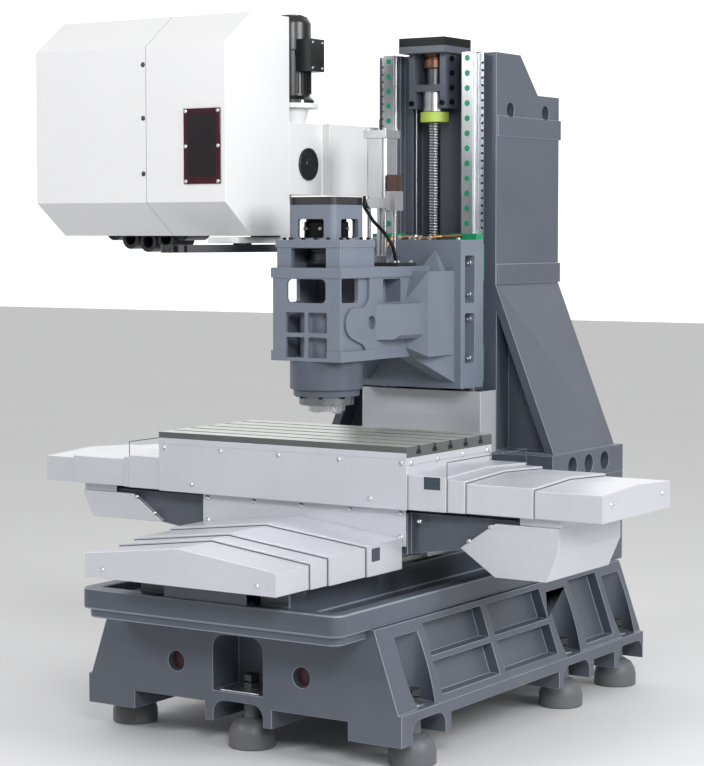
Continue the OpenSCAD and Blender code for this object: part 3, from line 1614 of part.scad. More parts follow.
// Double-ended change arm, parked under the magazine
module change_arm() {
  color("dimgray") translate([arm_x, spindle_y, arm_z]) {
    translate([0, 0, arm_t - eps]) cylinder(r = arm_shaft_r, h = arm_down - 25 + eps);
    rotate([0, 0, arm_angle]) {
      span([-arm_half, -arm_shaft_r * 0.85, 0], [arm_half, arm_shaft_r * 0.85, arm_t]);
      for (s = [-1, 1]) translate([s * arm_half, 0, 0]) difference() {
        cylinder(r = grip_r, h = arm_t);
        translate([0, s * 0.6 * grip_r, -1]) cylinder(r = 0.62 * grip_r, h = arm_t + 2);
      }
    }
  }
}

bed();
bed_rim();
levelling_feet();
y_rails();
y_screw();
y_cover_bracket();
column();
column_apron();
z_rails();
z_screw();
z_screw_bracket();
z_bumper();
z_motor_plate();
magazine_housing();
magazine_window();
magazine_axle();
magazine_bracket();
arm_gearbox();
gearbox_cap();
arm_motor();
change_arm();
tool_disc();
saddle();
saddle_carriages();
x_rails();
saddle_skirt();
saddle_boxes();
x_cover_brackets();
x_cover_right_4();
x_cover_left_4();
x_cover_right_3();
x_cover_left_3();
x_cover_right_2();
x_cover_left_2();
x_covers_1();
table();
table_skirt();
table_carriages();
y_cover_1();
y_cover_2();
y_cover_3();
y_cover_4();
head();
z_slide();
z_carriages();
spindle_housing();
motor_tower();
cylinder_stand();
release_cylinder();
cylinder_valve();
spindle_nose();
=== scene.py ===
"""Dresses the vertical machining centre: paint, ground steel, screws, threads, seals and stage."""

import json
import math

import bmesh
import bpy
from bpy.props import FloatProperty, FloatVectorProperty, IntProperty, PointerProperty
from mathutils import Matrix, Vector


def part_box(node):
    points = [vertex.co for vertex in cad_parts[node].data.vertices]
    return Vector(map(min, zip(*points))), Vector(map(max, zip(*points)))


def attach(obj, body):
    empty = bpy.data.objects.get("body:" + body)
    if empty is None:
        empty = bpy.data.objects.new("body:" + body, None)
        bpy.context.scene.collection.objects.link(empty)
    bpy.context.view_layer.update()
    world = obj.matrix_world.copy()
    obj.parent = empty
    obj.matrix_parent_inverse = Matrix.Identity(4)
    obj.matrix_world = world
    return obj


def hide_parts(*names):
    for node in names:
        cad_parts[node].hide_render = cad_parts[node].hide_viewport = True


bl_info = {
    "name": "Machining Centre Dresser",
    "version": (1, 1, 0),
    "blender": (4, 5, 0),
    "location": "View3D > Sidebar > Machine",
    "description": "Finishes a bare vertical machining centre with paint, steel and fasteners",
    "category": "Object",
}

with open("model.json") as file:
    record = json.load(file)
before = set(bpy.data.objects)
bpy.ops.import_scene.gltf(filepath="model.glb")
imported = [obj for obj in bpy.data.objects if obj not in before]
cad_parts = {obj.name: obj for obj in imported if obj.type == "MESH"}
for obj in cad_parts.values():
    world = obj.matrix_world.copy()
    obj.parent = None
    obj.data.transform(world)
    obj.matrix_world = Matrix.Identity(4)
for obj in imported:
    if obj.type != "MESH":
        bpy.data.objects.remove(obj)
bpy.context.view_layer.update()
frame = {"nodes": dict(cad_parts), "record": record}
RECORD = frame["record"]
BODY_OF = {n: b for b, names in RECORD["behaviour"]["bodies"].items() for n in names}
SLOT_OF = {s["node"]: s["material_slot"] for s in RECORD["subparts"]}
FRONT, BACK = (0, -1, 0), (0, 1, 0)
LEFT, RIGHT = (-1, 0, 0), (1, 0, 0)
UP, DOWN = (0, 0, 1), (0, 0, -1)


def srgb(red, green, blue):
    """Linear colour from screen values of 0 to 255."""
    def channel(value):
        value /= 255
        return value / 12.92 if value <= 0.04045 else ((value + 0.055) / 1.055) ** 2.4
    return (channel(red), channel(green), channel(blue))


class MachineSizes(bpy.types.PropertyGroup):
    """Sizes of what the dresser adds."""

    casting_round: FloatProperty(
        name="Casting rounding", description="Width of the rounded edges on castings",
        default=0.005, min=0.001, max=0.01, unit="LENGTH")
    sheet_round: FloatProperty(
        name="Sheet rounding", description="Width of the folded edges on sheet covers",
        default=0.0015, min=0.0005, max=0.003, unit="LENGTH")
    steel_round: FloatProperty(
        name="Steel chamfer", description="Width of the broken edges on machined steel",
        default=0.0012, min=0.0005, max=0.003, unit="LENGTH")
    cap_pitch: FloatProperty(
        name="Rail cap pitch", description="Distance between the green caps of a Z rail",
        default=0.053, min=0.03, max=0.12, unit="LENGTH")
    cap_radius: FloatProperty(
        name="Rail cap radius", description="Radius of the green caps in the Z rails",
        default=0.0105, min=0.005, max=0.015, unit="LENGTH")
    screw_pitch: FloatProperty(
        name="Ball screw pitch", description="Lead of the ball screws' grooves",
        default=0.010, min=0.005, max=0.025, unit="LENGTH")
    fin_count: IntProperty(
        name="Motor fins", description="Cooling fins round the arm's motor",
        default=32, min=12, max=60)


class MachineColours(bpy.types.PropertyGroup):
    """Colours of the machine's finishes."""

    casting: FloatVectorProperty(
        name="Castings", description="Enamel of the castings", subtype="COLOR",
        default=srgb(82, 89, 101), min=0, max=1)
    # The head castings' enamel is the castings' enamel made lighter: painted light for the stronger
    # light on the head, slide and tower.
    upper: FloatVectorProperty(
        name="Head castings", description="Enamel of the head, slide and tower",
        subtype="COLOR", default=srgb(114, 122, 136), min=0, max=1)
    covers: FloatVectorProperty(
        name="Covers", description="Enamel of the sheet covers", subtype="COLOR",
        default=srgb(206, 208, 215), min=0, max=1)
    magazine: FloatVectorProperty(
        name="Magazine", description="Enamel of the tool magazine", subtype="COLOR",
        default=srgb(226, 226, 227), min=0, max=1)
    table: FloatVectorProperty(
        name="Table", description="Ground iron of the table", subtype="COLOR",
        default=srgb(196, 200, 194), min=0, max=1)


class Wire:
    """A node's socket that takes part in arithmetic; an expression adds its Math nodes."""

    def __init__(self, board, socket):
        self.board = board
        self.socket = socket

    def _math(self, operation, first, second=None):
        values = [first] if second is None else [first, second]
        return self.board.node(
            "ShaderNodeMath", {"operation": operation}, dict(enumerate(values)))

    def __add__(self, other):
        return self._math("ADD", self, other)

    def __radd__(self, other):
        return self._math("ADD", other, self)

    def __sub__(self, other):
        return self._math("SUBTRACT", self, other)

    def __rsub__(self, other):
        return self._math("SUBTRACT", other, self)

    def __mul__(self, other):
        return self._math("MULTIPLY", self, other)

    def __rmul__(self, other):
        return self._math("MULTIPLY", other, self)

    def __gt__(self, other):
        return self._math("GREATER_THAN", self, other)

    def __lt__(self, other):
        return self._math("LESS_THAN", self, other)

    def most(self, other):
        return self._math("MAXIMUM", self, other)

    def size(self):
        return self._math("ABSOLUTE", self)


class Nodes:
    """Adds nodes to a tree: settings first, then the values or links of the sockets."""

    tree = None

    def node(self, kind, settings=None, values=None, output=0):
        node = self.tree.nodes.new(kind)
        for key, value in (settings or {}).items():
            if key == "stops":
                ramp = node.color_ramp
                while len(ramp.elements) < len(value):
                    ramp.elements.new(0.5)
                for element, (position, shade) in zip(ramp.elements, value):
                    element.position = position
                    element.color = (shade, shade, shade, 1)
            else:
                setattr(node, key, value)
        for key, value in (values or {}).items():
            socket = node.inputs[key]
            if isinstance(value, Wire):
                self.tree.links.new(value.socket, socket)
            elif isinstance(value, (list, tuple)) and value and isinstance(value[0], Wire):
                for wire in value:
                    self.tree.links.new(wire.socket, socket)
            elif hasattr(value, "__len__") and socket.type == "RGBA" and len(value) == 3:
                socket.default_value = (*value, 1)
            else:
                socket.default_value = value
        return Wire(self, node.outputs[output])


class Board(Nodes):
    """The node board of one material, with its shader and its Object coordinates."""

    def __init__(self, name, metallic=0.0, roughness=0.5, **steady):
        self.material = bpy.data.materials.new(name)
        self.material.use_nodes = True
        self.tree = self.material.node_tree
        self.shader = self.tree.nodes["Principled BSDF"]
        self.shader.inputs["Metallic"].default_value = metallic
        self.shader.inputs["Roughness"].default_value = roughness
        for key, value in steady.items():
            self.shader.inputs[key.replace("_", " ")].default_value = value
        self.place = self.node("ShaderNodeTexCoord", output="Object")

    def noise(self, scale, detail=3.0, roughness=0.5, place=None):
        return self.node("ShaderNodeTexNoise", {}, {
            "Vector": place or self.place, "Scale": scale, "Detail": detail,
            "Roughness": roughness})

    def stretch(self, scale):
        return self.node("ShaderNodeMapping", {}, {"Vector": self.place, "Scale": scale})

    def ramp(self, value, stops):
        """A smooth step between stops, each a position and a grey value."""
        return self.node("ShaderNodeValToRGB", {"stops": stops}, {"Fac": value})

    def blend(self, factor, first, second):
        return self.node("ShaderNodeMix", {"data_type": "RGBA"},
                         {0: factor, 6: first, 7: second}, output=2)

    def axis(self, name):
        return self.node("ShaderNodeSeparateXYZ", {}, {"Vector": self.place}, output=name)

    def within(self, name, low, high):
        """1 between two places along an axis, 0 elsewhere."""
        along = self.axis(name)
        return (along > low) * (along < high)

    def link(self, key, value):
        self.tree.links.new(value.socket, self.shader.inputs[key])

    def bump(self, *layers):
        """Each layer is a height, how strong it is and its depth in metres."""
        normal = None
        for height, strength, depth in layers:
            values = {"Height": height, "Strength": strength, "Distance": depth}
            if normal is not None:
                values["Normal"] = normal
            normal = self.node("ShaderNodeBump", {}, values)
        self.link("Normal", normal)


def darker(colour, share):
    return tuple(channel * share for channel in colour)


def enamel(name, colour, roughness, peel, shade=0.93, seams=(), **steady):
    """Sprayed enamel: faint clouds of tone, orange peel and rubbed patches; dark seams."""
    board = Board(name, roughness=roughness, **steady)
    fine = board.noise(70, detail=2)
    mix = board.ramp(board.noise(2.3, detail=4) * 0.7 + fine * 0.3, [(0.36, 0.0), (0.64, 1.0)])
    paint = board.blend(mix, darker(colour, shade), colour)
    for axis, low, high, guard_axis, guard_low, guard_high in seams:
        gap = board.within(axis, low, high) * board.within(guard_axis, guard_low, guard_high)
        paint = board.blend(gap, paint, darker(colour, 0.3))
    board.link("Base Color", paint)
    board.link("Roughness", roughness + (board.noise(9, detail=5) - 0.5) * 0.2)
    board.bump((board.noise(6, detail=2), 0.2, peel * 9), (board.noise(420, detail=1), 0.3, peel))
    return board


def casting_enamel(name, colour, low_dust=0.3, dark_above=None):
    """Thick filler and enamel on cast iron: slow waves under the peel, dust low down."""
    board = Board(name, roughness=0.4, Coat_Weight=0.1, Coat_Roughness=0.3)
    clouds = board.noise(3.1, detail=5)
    grain = board.noise(150, detail=3)
    tone = board.ramp(clouds * 0.65 + grain * 0.35, [(0.36, 0.0), (0.62, 1.0)])
    paint = board.blend(tone, darker(colour, 0.82), colour)
    fleck = board.ramp(board.noise(520, detail=2), [(0.66, 0.0), (0.74, 1.0)])
    paint = board.blend(fleck * 0.25, paint, srgb(150, 155, 160))
    low = board.ramp(board.axis("Z") * 1.6 + board.noise(5, detail=6) * 0.5,
                     [(0.28, 1.0), (0.62, 0.0)])
    paint = board.blend(low * low_dust, paint, srgb(112, 115, 119))
    if dark_above is not None:
        paint = board.blend(board.axis("Z") > dark_above, paint, srgb(38, 39, 42))
    board.link("Base Color", paint)
    board.link("Roughness", 0.35 + grain * 0.12 + low * 0.2)
    board.bump((board.noise(9, detail=3), 0.35, 0.0025), (board.noise(300, detail=2), 0.45, 0.0002))
    return board


def ground_metal(name, colour, roughness, along, scale=600, depth=0.00004, **steady):
    """Ground or turned metal: fine lines along one axis, with a few faint stains."""
    board = Board(name, metallic=1.0, roughness=roughness, **steady)
    squeeze = [scale, scale, scale]
    squeeze["XYZ".index(along)] = scale * 0.012
    lines = board.noise(1.0, detail=3, place=board.stretch(tuple(squeeze)))
    stains = board.noise(6, detail=5)
    tone = board.ramp(lines * 0.6 + stains * 0.4, [(0.34, 0.0), (0.66, 1.0)])
    board.link("Base Color", board.blend(tone, darker(colour, 0.76), colour))
    board.link("Roughness", roughness + (lines - 0.5) * 0.25 + (stains - 0.5) * 0.12)
    board.bump((lines, 0.5, depth))
    return board


def part_painted(name, paint, metal, bare, roughness=0.36, along="Z", scale=420, shine=1.0):
    """Grey enamel where bare is 0 and ground metal where it is 1; bare is made on the board."""
    board = Board(name, roughness=roughness)
    mask = bare(board)
    squeeze = [scale, scale, scale]
    squeeze["XYZ".index(along)] = scale * 0.012
    lines = board.noise(1.0, detail=3, place=board.stretch(tuple(squeeze)))
    clouds = board.ramp(board.noise(5, detail=5), [(0.35, 0.0), (0.65, 1.0)])
    painted = board.blend(clouds, darker(paint, 0.84), paint)
    ground = board.blend(board.ramp(lines, [(0.3, 0.0), (0.7, 1.0)]), darker(metal, 0.74), metal)
    board.link("Base Color", board.blend(mask, painted, ground))
    board.link("Metallic", mask * shine)
    board.link("Roughness", roughness + (lines - 0.5) * 0.2 - mask * 0.06)
    board.bump((lines * mask, 0.5, 0.00004), (board.noise(280, detail=2), 0.25, 0.0001))
    return board


def moulded(name, colour, roughness, **steady):
    """Moulded plastic or rubber with a fine grain."""
    board = Board(name, roughness=roughness, **steady)
    grain = board.noise(260, detail=3)
    tone = board.ramp(board.noise(14, detail=4) * 0.5 + grain * 0.5, [(0.3, 0.0), (0.7, 1.0)])
    board.link("Base Color", board.blend(tone, darker(colour, 0.8), colour))
    board.link("Roughness", roughness + (grain - 0.5) * 0.2)
    board.bump((grain, 0.35, 0.00012))
    return board


def tinted_window(name):
    """Dark tinted sheet, redder where its border lies on the housing."""
    low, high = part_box("magazine_window")
    border = 0.017
    board = Board(name, roughness=0.12, Coat_Weight=0.5, Coat_Roughness=0.05)
    inner = (board.within("X", low[0] + border, high[0] - border)
             * board.within("Z", low[2] + border * 1.4, high[2] - border))
    smoke = board.blend(board.noise(8, detail=3), srgb(30, 28, 30), srgb(40, 36, 38))
    board.link("Base Color", board.blend(inner, srgb(62, 26, 34), smoke))
    board.link("Roughness", 0.1 + board.noise(30, detail=2) * 0.08)
    board.bump((board.noise(3, detail=1), 0.2, 0.0008))
    return board


def finishes():
    """Every finish of the machine, by name."""
    colours = bpy.context.scene.machine_colours
    cast = tuple(colours.casting)
    iron = tuple(colours.table)
    steel = srgb(206, 208, 212)
    head_grey = tuple(colours.upper)
    table_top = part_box("table")[1][2]
    ring_low, ring_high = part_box("spindle_housing")[0][2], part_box("spindle_housing")[1][2]
    bare_ring = ring_low + 0.2 * (ring_high - ring_low)
    tower_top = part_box("motor_tower")[1][2]
    foot_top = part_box("levelling_feet")[1][2]
    stand_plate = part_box("cylinder_stand")[0][2] + 0.0125
    lamp_steel = srgb(214, 216, 219)
    gearbox_seam = 0.063
    housing_seam = -0.610
    made = {
        "cast_grey": casting_enamel("cast_grey", cast),
        # Lighter copies of the casting enamels for the rounded edges: painted highlights along every
        # edge.
        "cast_edge": casting_enamel("cast_edge", srgb(136, 143, 155), low_dust=0.1),
        # Head, slide and tower take the lighter enamel: painted light, since these parts stand in
        # stronger light.
        "head_grey": casting_enamel("head_grey", head_grey),
        "head_edge": casting_enamel("head_edge", srgb(178, 184, 195)),
        "tower_grey": casting_enamel("tower_grey", head_grey,
                                     dark_above=tower_top - 0.0265),
        "tower_edge": casting_enamel("tower_edge", srgb(178, 184, 195),
                                     dark_above=tower_top - 0.0265),
        "silver_paint": enamel("silver_paint", tuple(colours.covers), 0.36, 0.00008,
                               Metallic=0.35, Coat_Weight=0.15, Coat_Roughness=0.2),
        "magazine_white": enamel(
            "magazine_white", tuple(colours.magazine), 0.4, 0.0001, shade=0.97,
            seams=(("X", housing_seam - 0.0011, housing_seam + 0.0011, "Y", -0.5, -0.03),),
            Coat_Weight=0.12, Coat_Roughness=0.25),
        "gearbox_white": enamel(
            "gearbox_white", tuple(colours.magazine), 0.36, 0.0001, shade=0.97,
            seams=(("Y", gearbox_seam + 0.1185, gearbox_seam + 0.1215, "Z", 1.5, 2.04),),
            Coat_Weight=0.2, Coat_Roughness=0.2),
        "ground_iron": part_painted(
            "ground_iron", srgb(88, 91, 91), iron,
            lambda board: board.axis("Z") > table_top - 0.0006, along="X", scale=500,
            shine=0.45, roughness=0.42),
        "quill": part_painted("quill", cast, srgb(150, 153, 158),
                              lambda board: board.axis("Z") < bare_ring, along="X"),
        "stand": part_painted("stand", srgb(44, 45, 48), lamp_steel,
                              lambda board: board.axis("Z") > stand_plate, roughness=0.3),
        "steel": ground_metal("steel", steel, 0.27, "Z", scale=700),
        "rail_steel": ground_metal("rail_steel", srgb(208, 212, 216), 0.34, "Z", scale=500,
                                   depth=0.00001),
        "steel_round": ground_metal("steel_round", srgb(214, 216, 220), 0.26, "X", scale=500),
        "screw_root": ground_metal("screw_root", srgb(112, 114, 118), 0.4, "X", scale=500),
        "dark_steel": ground_metal("dark_steel", srgb(84, 86, 90), 0.42, "X", scale=300),
        "light_steel": ground_metal("light_steel", srgb(216, 218, 221), 0.32, "Z", scale=420),
        "mount_steel": casting_enamel("mount_steel", srgb(84, 87, 90), low_dust=0.5,
                                      dark_above=foot_top - 0.06),
        "bronze": ground_metal("bronze", srgb(128, 98, 82), 0.4, "Z", scale=300),
        "plug_red": moulded("plug_red", srgb(74, 40, 44), 0.45),
        "zinc": ground_metal("zinc", srgb(226, 228, 230), 0.3, "X", scale=200),
        "black_oxide": ground_metal("black_oxide", srgb(40, 41, 43), 0.38, "X", scale=200),
        "black": moulded("black", srgb(26, 27, 29), 0.36, Coat_Weight=0.3, Coat_Roughness=0.2),
        "rubber": moulded("rubber", srgb(82, 84, 88), 0.6),
        "green": moulded("green", srgb(20, 150, 104), 0.4),
        "lime": moulded("lime", srgb(186, 212, 92), 0.5),
        "window": tinted_window("window"),
        "brass": ground_metal("brass", srgb(190, 146, 96), 0.3, "Z", scale=300),
        "brown": moulded("brown", srgb(70, 42, 32), 0.4),
        "plate_blank": moulded("plate_blank", srgb(52, 62, 74), 0.3, Coat_Weight=0.2),
    }
    return {name: board.material for name, board in made.items()}


FINISH = {}


def settle(piece, body, slot, finish=None, edge=None):
    """Gives a piece its finish and its body; the slot names the finish when no finish is given."""
    piece.data.materials.clear()
    piece.data.materials.append(FINISH[finish or slot])
    # A second finish, when given, goes on the rounded edges: a lighter enamel that paints highlights.
    if edge:
        piece.data.materials.append(FINISH[edge])
    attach(piece, body)
    return piece


def new_piece(name, mesh):
    piece = bpy.data.objects.new(name, mesh)
    bpy.context.scene.collection.objects.link(piece)
    return piece


def bake_modifiers(piece):
    """Turns the evaluated piece into a plain mesh and drops its modifiers."""
    bpy.context.view_layer.update()
    graph = bpy.context.evaluated_depsgraph_get()
    mesh = bpy.data.meshes.new_from_object(piece.evaluated_get(graph), depsgraph=graph)
    piece.modifiers.clear()
    piece.data = mesh
    return piece


def soften(node, width, segments=2, angle=32, finish=None, edge=None):
    """A copy of a CAD node with rounded edges, which stands for it."""
    source = frame["nodes"][node]
    mesh = source.data.copy()
    work = bmesh.new()
    work.from_mesh(mesh)
    bmesh.ops.remove_doubles(work, verts=work.verts, dist=0.00001)
    bmesh.ops.dissolve_limit(work, angle_limit=math.radians(0.4), verts=work.verts,
                             edges=work.edges, delimit={"NORMAL"})
    for face in work.faces:
        face.material_index = 0
    work.to_mesh(mesh)
    work.free()
    piece = new_piece(node + "_finished", mesh)
    slots = 2 if edge else 1
    mesh.materials.clear()
    for _ in range(slots):
        mesh.materials.append(None)
    bevel = piece.modifiers.new("edges", "BEVEL")
    bevel.width = width
    bevel.segments = segments
    bevel.limit_method = "ANGLE"
    bevel.angle_limit = math.radians(angle)
    bevel.miter_outer = "MITER_ARC"
    bevel.use_clamp_overlap = True
    # The rounded edge faces take the second finish: painted highlights along the edges.
    if edge:
        bevel.material = 1
    weighted = piece.modifiers.new("normals", "WEIGHTED_NORMAL")
    weighted.keep_sharp = True
    for polygon in piece.data.polygons:
        polygon.use_smooth = True
    piece.data.set_sharp_from_angle(angle=math.radians(40))
    bake_modifiers(piece)
    indices = [polygon.material_index for polygon in piece.data.polygons]
    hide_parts(node)
    settle(piece, BODY_OF[node], SLOT_OF[node], finish, edge)
    for polygon, index in zip(piece.data.polygons, indices):
        polygon.material_index = index
    return piece


class Plan(Nodes):
    """A Geometry Nodes tree with named inputs, which ends in real faces of one material."""

    def __init__(self, name, **inputs):
        self.name = name
        self.tree = bpy.data.node_groups.new(name, "GeometryNodeTree")
        face = self.tree.interface
        face.new_socket("Geometry", in_out="INPUT", socket_type="NodeSocketGeometry")
        kinds = {float: "NodeSocketFloat", int: "NodeSocketInt"}
        for label, value in inputs.items():
            socket = face.new_socket(label.replace("_", " "), in_out="INPUT",
                                     socket_type=kinds[type(value)])
            socket.default_value = value
        face.new_socket("Material", in_out="INPUT", socket_type="NodeSocketMaterial")
        face.new_socket("Geometry", in_out="OUTPUT", socket_type="NodeSocketGeometry")
        self.entry = self.tree.nodes.new("NodeGroupInput")
        self.exit = self.tree.nodes.new("NodeGroupOutput")

    def given(self, label):
        return Wire(self, self.entry.outputs[label])

    def end(self, geometry):
        real = self.node("GeometryNodeRealizeInstances", {}, {"Geometry": geometry})
        done = self.node("GeometryNodeSetMaterial", {},
                         {"Geometry": real, "Material": self.given("Material")})
        self.tree.links.new(done.socket, self.exit.inputs["Geometry"])
        return self

    def apply(self, piece, finish, **values):
        """Runs the tree on a piece and leaves a plain mesh."""
        modifier = piece.modifiers.new(self.name, "NODES")
        modifier.node_group = self.tree
        wanted = {key.replace("_", " "): value for key, value in values.items()}
        wanted["Material"] = FINISH[finish]
        known = set()
        for item in self.tree.interface.items_tree:
            if item.in_out == "INPUT" and item.name in wanted:
                modifier[item.identifier] = wanted[item.name]
                known.add(item.name)
        missing = set(wanted) - known
        if missing:
            raise RuntimeError(self.name + " has no input " + ", ".join(sorted(missing)))
        return bake_modifiers(piece)


def fastener_plan():
    """Heads on every point of a mesh, turned to its facing: hex, socket, dome or plug."""
    plan = Plan("Fastener", Sides=24, Radius=0.01, Height=0.008, Edge=0.0015, Taper=0.86,
                Recess=0.5, Depth=0.004, Washer_Radius=0.0, Washer_Height=0.0)
    head_h = plan.given("Height") - plan.given("Edge")
    washer_h = plan.given("Washer Height")
    body = plan.node("GeometryNodeMeshCylinder", {"fill_type": "NGON"}, {
        "Vertices": plan.given("Sides"), "Radius": plan.given("Radius"), "Depth": head_h})
    top = Wire(plan, body.socket.node.outputs["Top"])
    rise = plan.node("GeometryNodeExtrudeMesh", {"mode": "FACES"}, {
        "Mesh": body, "Selection": top, "Offset Scale": plan.given("Edge")})
    rise_top = Wire(plan, rise.socket.node.outputs["Top"])
    taper = plan.node("GeometryNodeScaleElements", {"domain": "FACE"}, {
        "Geometry": rise, "Selection": rise_top, "Scale": plan.given("Taper")})
    rim = plan.node("GeometryNodeExtrudeMesh", {"mode": "FACES"}, {
        "Mesh": taper, "Selection": rise_top, "Offset Scale": 0.0})
    rim_top = Wire(plan, rim.socket.node.outputs["Top"])
    inset = plan.node("GeometryNodeScaleElements", {"domain": "FACE"}, {
        "Geometry": rim, "Selection": rim_top, "Scale": plan.given("Recess")})
    sunk = plan.node("GeometryNodeExtrudeMesh", {"mode": "FACES"}, {
        "Mesh": inset, "Selection": rim_top,
        "Offset Scale": plan.given("Depth") * -1.0})
    up = plan.node("ShaderNodeCombineXYZ", {}, {"Z": head_h * 0.5 + washer_h})
    head = plan.node("GeometryNodeTransform", {}, {"Geometry": sunk, "Translation": up})
    washer = plan.node("GeometryNodeMeshCylinder", {"fill_type": "NGON"}, {
        "Vertices": 28, "Radius": plan.given("Washer Radius"), "Depth": washer_h})
    washer_up = plan.node("ShaderNodeCombineXYZ", {}, {"Z": washer_h * 0.5})
    washer = plan.node("GeometryNodeTransform", {},
                       {"Geometry": washer, "Translation": washer_up})
    has_washer = plan.node("FunctionNodeCompare", {"data_type": "FLOAT"},
                           {"A": plan.given("Washer Radius"), "B": 0.0})
    washer = plan.node("GeometryNodeSwitch", {"input_type": "GEOMETRY"},
                       {"Switch": has_washer, "True": washer})
    whole = plan.node("GeometryNodeJoinGeometry", {}, {"Geometry": [head, washer]})
    facing = plan.node("GeometryNodeInputNamedAttribute", {"data_type": "FLOAT_VECTOR"},
                       {"Name": "facing"})
    turn = plan.node("FunctionNodeAlignRotationToVector", {"axis": "Z"}, {"Vector": facing})
    points = plan.node("GeometryNodeMeshToPoints", {}, {"Mesh": plan.given("Geometry")})
    spread = plan.node("GeometryNodeInstanceOnPoints", {},
                       {"Points": points, "Instance": whole, "Rotation": turn})
    return plan.end(spread)


def thread_plan():
    """A raised helix round a straight bar that runs from the first point up Z."""
    plan = Plan("Thread", Length=1.0, Radius=0.02, Pitch=0.01, Ridge=0.0025, Sides=28)
    turns = plan.node("ShaderNodeMath", {"operation": "DIVIDE"},
                      {0: plan.given("Length"), 1: plan.given("Pitch")})
    coil = plan.node("GeometryNodeCurveSpiral", {}, {
        "Resolution": plan.given("Sides"), "Rotations": turns,
        "Start Radius": plan.given("Radius"), "End Radius": plan.given("Radius"),
        "Height": plan.given("Length")})
    ridge = plan.node("GeometryNodeCurvePrimitiveCircle", {},
                      {"Resolution": 6, "Radius": plan.given("Ridge")})
    tube = plan.node("GeometryNodeCurveToMesh", {},
                     {"Curve": coil, "Profile Curve": ridge, "Fill Caps": True})
    points = plan.node("GeometryNodeMeshToPoints", {}, {"Mesh": plan.given("Geometry")})
    facing = plan.node("GeometryNodeInputNamedAttribute", {"data_type": "FLOAT_VECTOR"},
                       {"Name": "facing"})
    turn = plan.node("FunctionNodeAlignRotationToVector", {"axis": "Z"}, {"Vector": facing})
    placed = plan.node("GeometryNodeInstanceOnPoints", {},
                       {"Points": points, "Instance": tube, "Rotation": turn})
    return plan.end(placed)


def pipe_plan():
    """A round pipe along the piece's edges, with its corners bent to a radius."""
    plan = Plan("Pipe", Radius=0.004, Bend=0.02, Sides=14)
    line = plan.node("GeometryNodeMeshToCurve", {}, {"Mesh": plan.given("Geometry")})
    bent = plan.node("GeometryNodeFilletCurve", {"mode": "POLY"},
                     {"Curve": line, "Count": 6, "Radius": plan.given("Bend"),
                      "Limit Radius": True})
    section = plan.node("GeometryNodeCurvePrimitiveCircle", {}, {
        "Resolution": plan.given("Sides"), "Radius": plan.given("Radius")})
    pipe = plan.node("GeometryNodeCurveToMesh", {},
                     {"Curve": bent, "Profile Curve": section, "Fill Caps": True})
    smooth = plan.node("GeometryNodeSetShadeSmooth", {}, {"Geometry": pipe})
    return plan.end(smooth)


def fin_plan():
    """Upright fins round an axis that stands on the piece's point."""
    plan = Plan("Fins", Count=32, Radius=0.064, Depth=0.006, Thickness=0.0022, Height=0.15)
    ring = plan.node("GeometryNodeMeshCircle", {"fill_type": "NONE"},
                     {"Vertices": plan.given("Count"), "Radius": plan.given("Radius")})
    size = plan.node("ShaderNodeCombineXYZ", {}, {
        "X": plan.given("Depth"), "Y": plan.given("Thickness"), "Z": plan.given("Height")})
    fin = plan.node("GeometryNodeMeshCube", {}, {"Size": size})
    spot = plan.node("GeometryNodeInputPosition")
    turn = plan.node("FunctionNodeAlignRotationToVector", {"axis": "X"}, {"Vector": spot})
    fins = plan.node("GeometryNodeInstanceOnPoints", {},
                     {"Points": ring, "Instance": fin, "Rotation": turn})
    placed = plan.node("GeometryNodeInstanceOnPoints", {},
                       {"Points": plan.node("GeometryNodeMeshToPoints", {},
                                            {"Mesh": plan.given("Geometry")}),
                        "Instance": fins})
    return plan.end(placed)


PLANS = {}


def on_points(name, kind, spots, body, slot, finish, **values):
    """Runs a plan on points, each with the way that it faces, as one piece."""
    mesh = bpy.data.meshes.new(name)
    mesh.from_pydata([spot for spot, _ in spots], [], [])
    facing = mesh.attributes.new("facing", "FLOAT_VECTOR", "POINT")
    for item, (_, way) in zip(facing.data, spots):
        item.vector = way
    piece = new_piece(name, mesh)
    PLANS[kind].apply(piece, finish, **values)
    return settle(piece, body, slot, finish)


def along_path(name, path, body, slot, finish, **values):
    """Runs the pipe plan along a path, as one piece."""
    mesh = bpy.data.meshes.new(name)
    mesh.from_pydata(path, [(i, i + 1) for i in range(len(path) - 1)], [])
    piece = new_piece(name, mesh)
    PLANS["pipe"].apply(piece, finish, **values)
    return settle(piece, body, slot, finish)


SOCKET = {"Radius": 0.009, "Height": 0.010, "Edge": 0.001, "Taper": 0.92, "Recess": 0.55,
          "Depth": 0.005}
DOME = {"Radius": 0.0085, "Height": 0.0045, "Edge": 0.003, "Taper": 0.62, "Recess": 0.5,
        "Depth": 0.0014, "Sides": 20}
PLUG = {"Radius": 0.0105, "Height": 0.0012, "Edge": 0.0006, "Taper": 0.93, "Recess": 0.4,
        "Depth": 0.0002, "Sides": 24}
BOX_SCREWS = ((0.708, 0.730), (0.630, 0.678), (0.447, 0.728), (-0.708, 0.730), (-0.630, 0.678))
HEX = {"Radius": 0.011, "Height": 0.008, "Edge": 0.001, "Taper": 0.9, "Recess": 0.6,
       "Depth": 0.0006, "Sides": 6, "Washer_Radius": 0.014, "Washer_Height": 0.002}


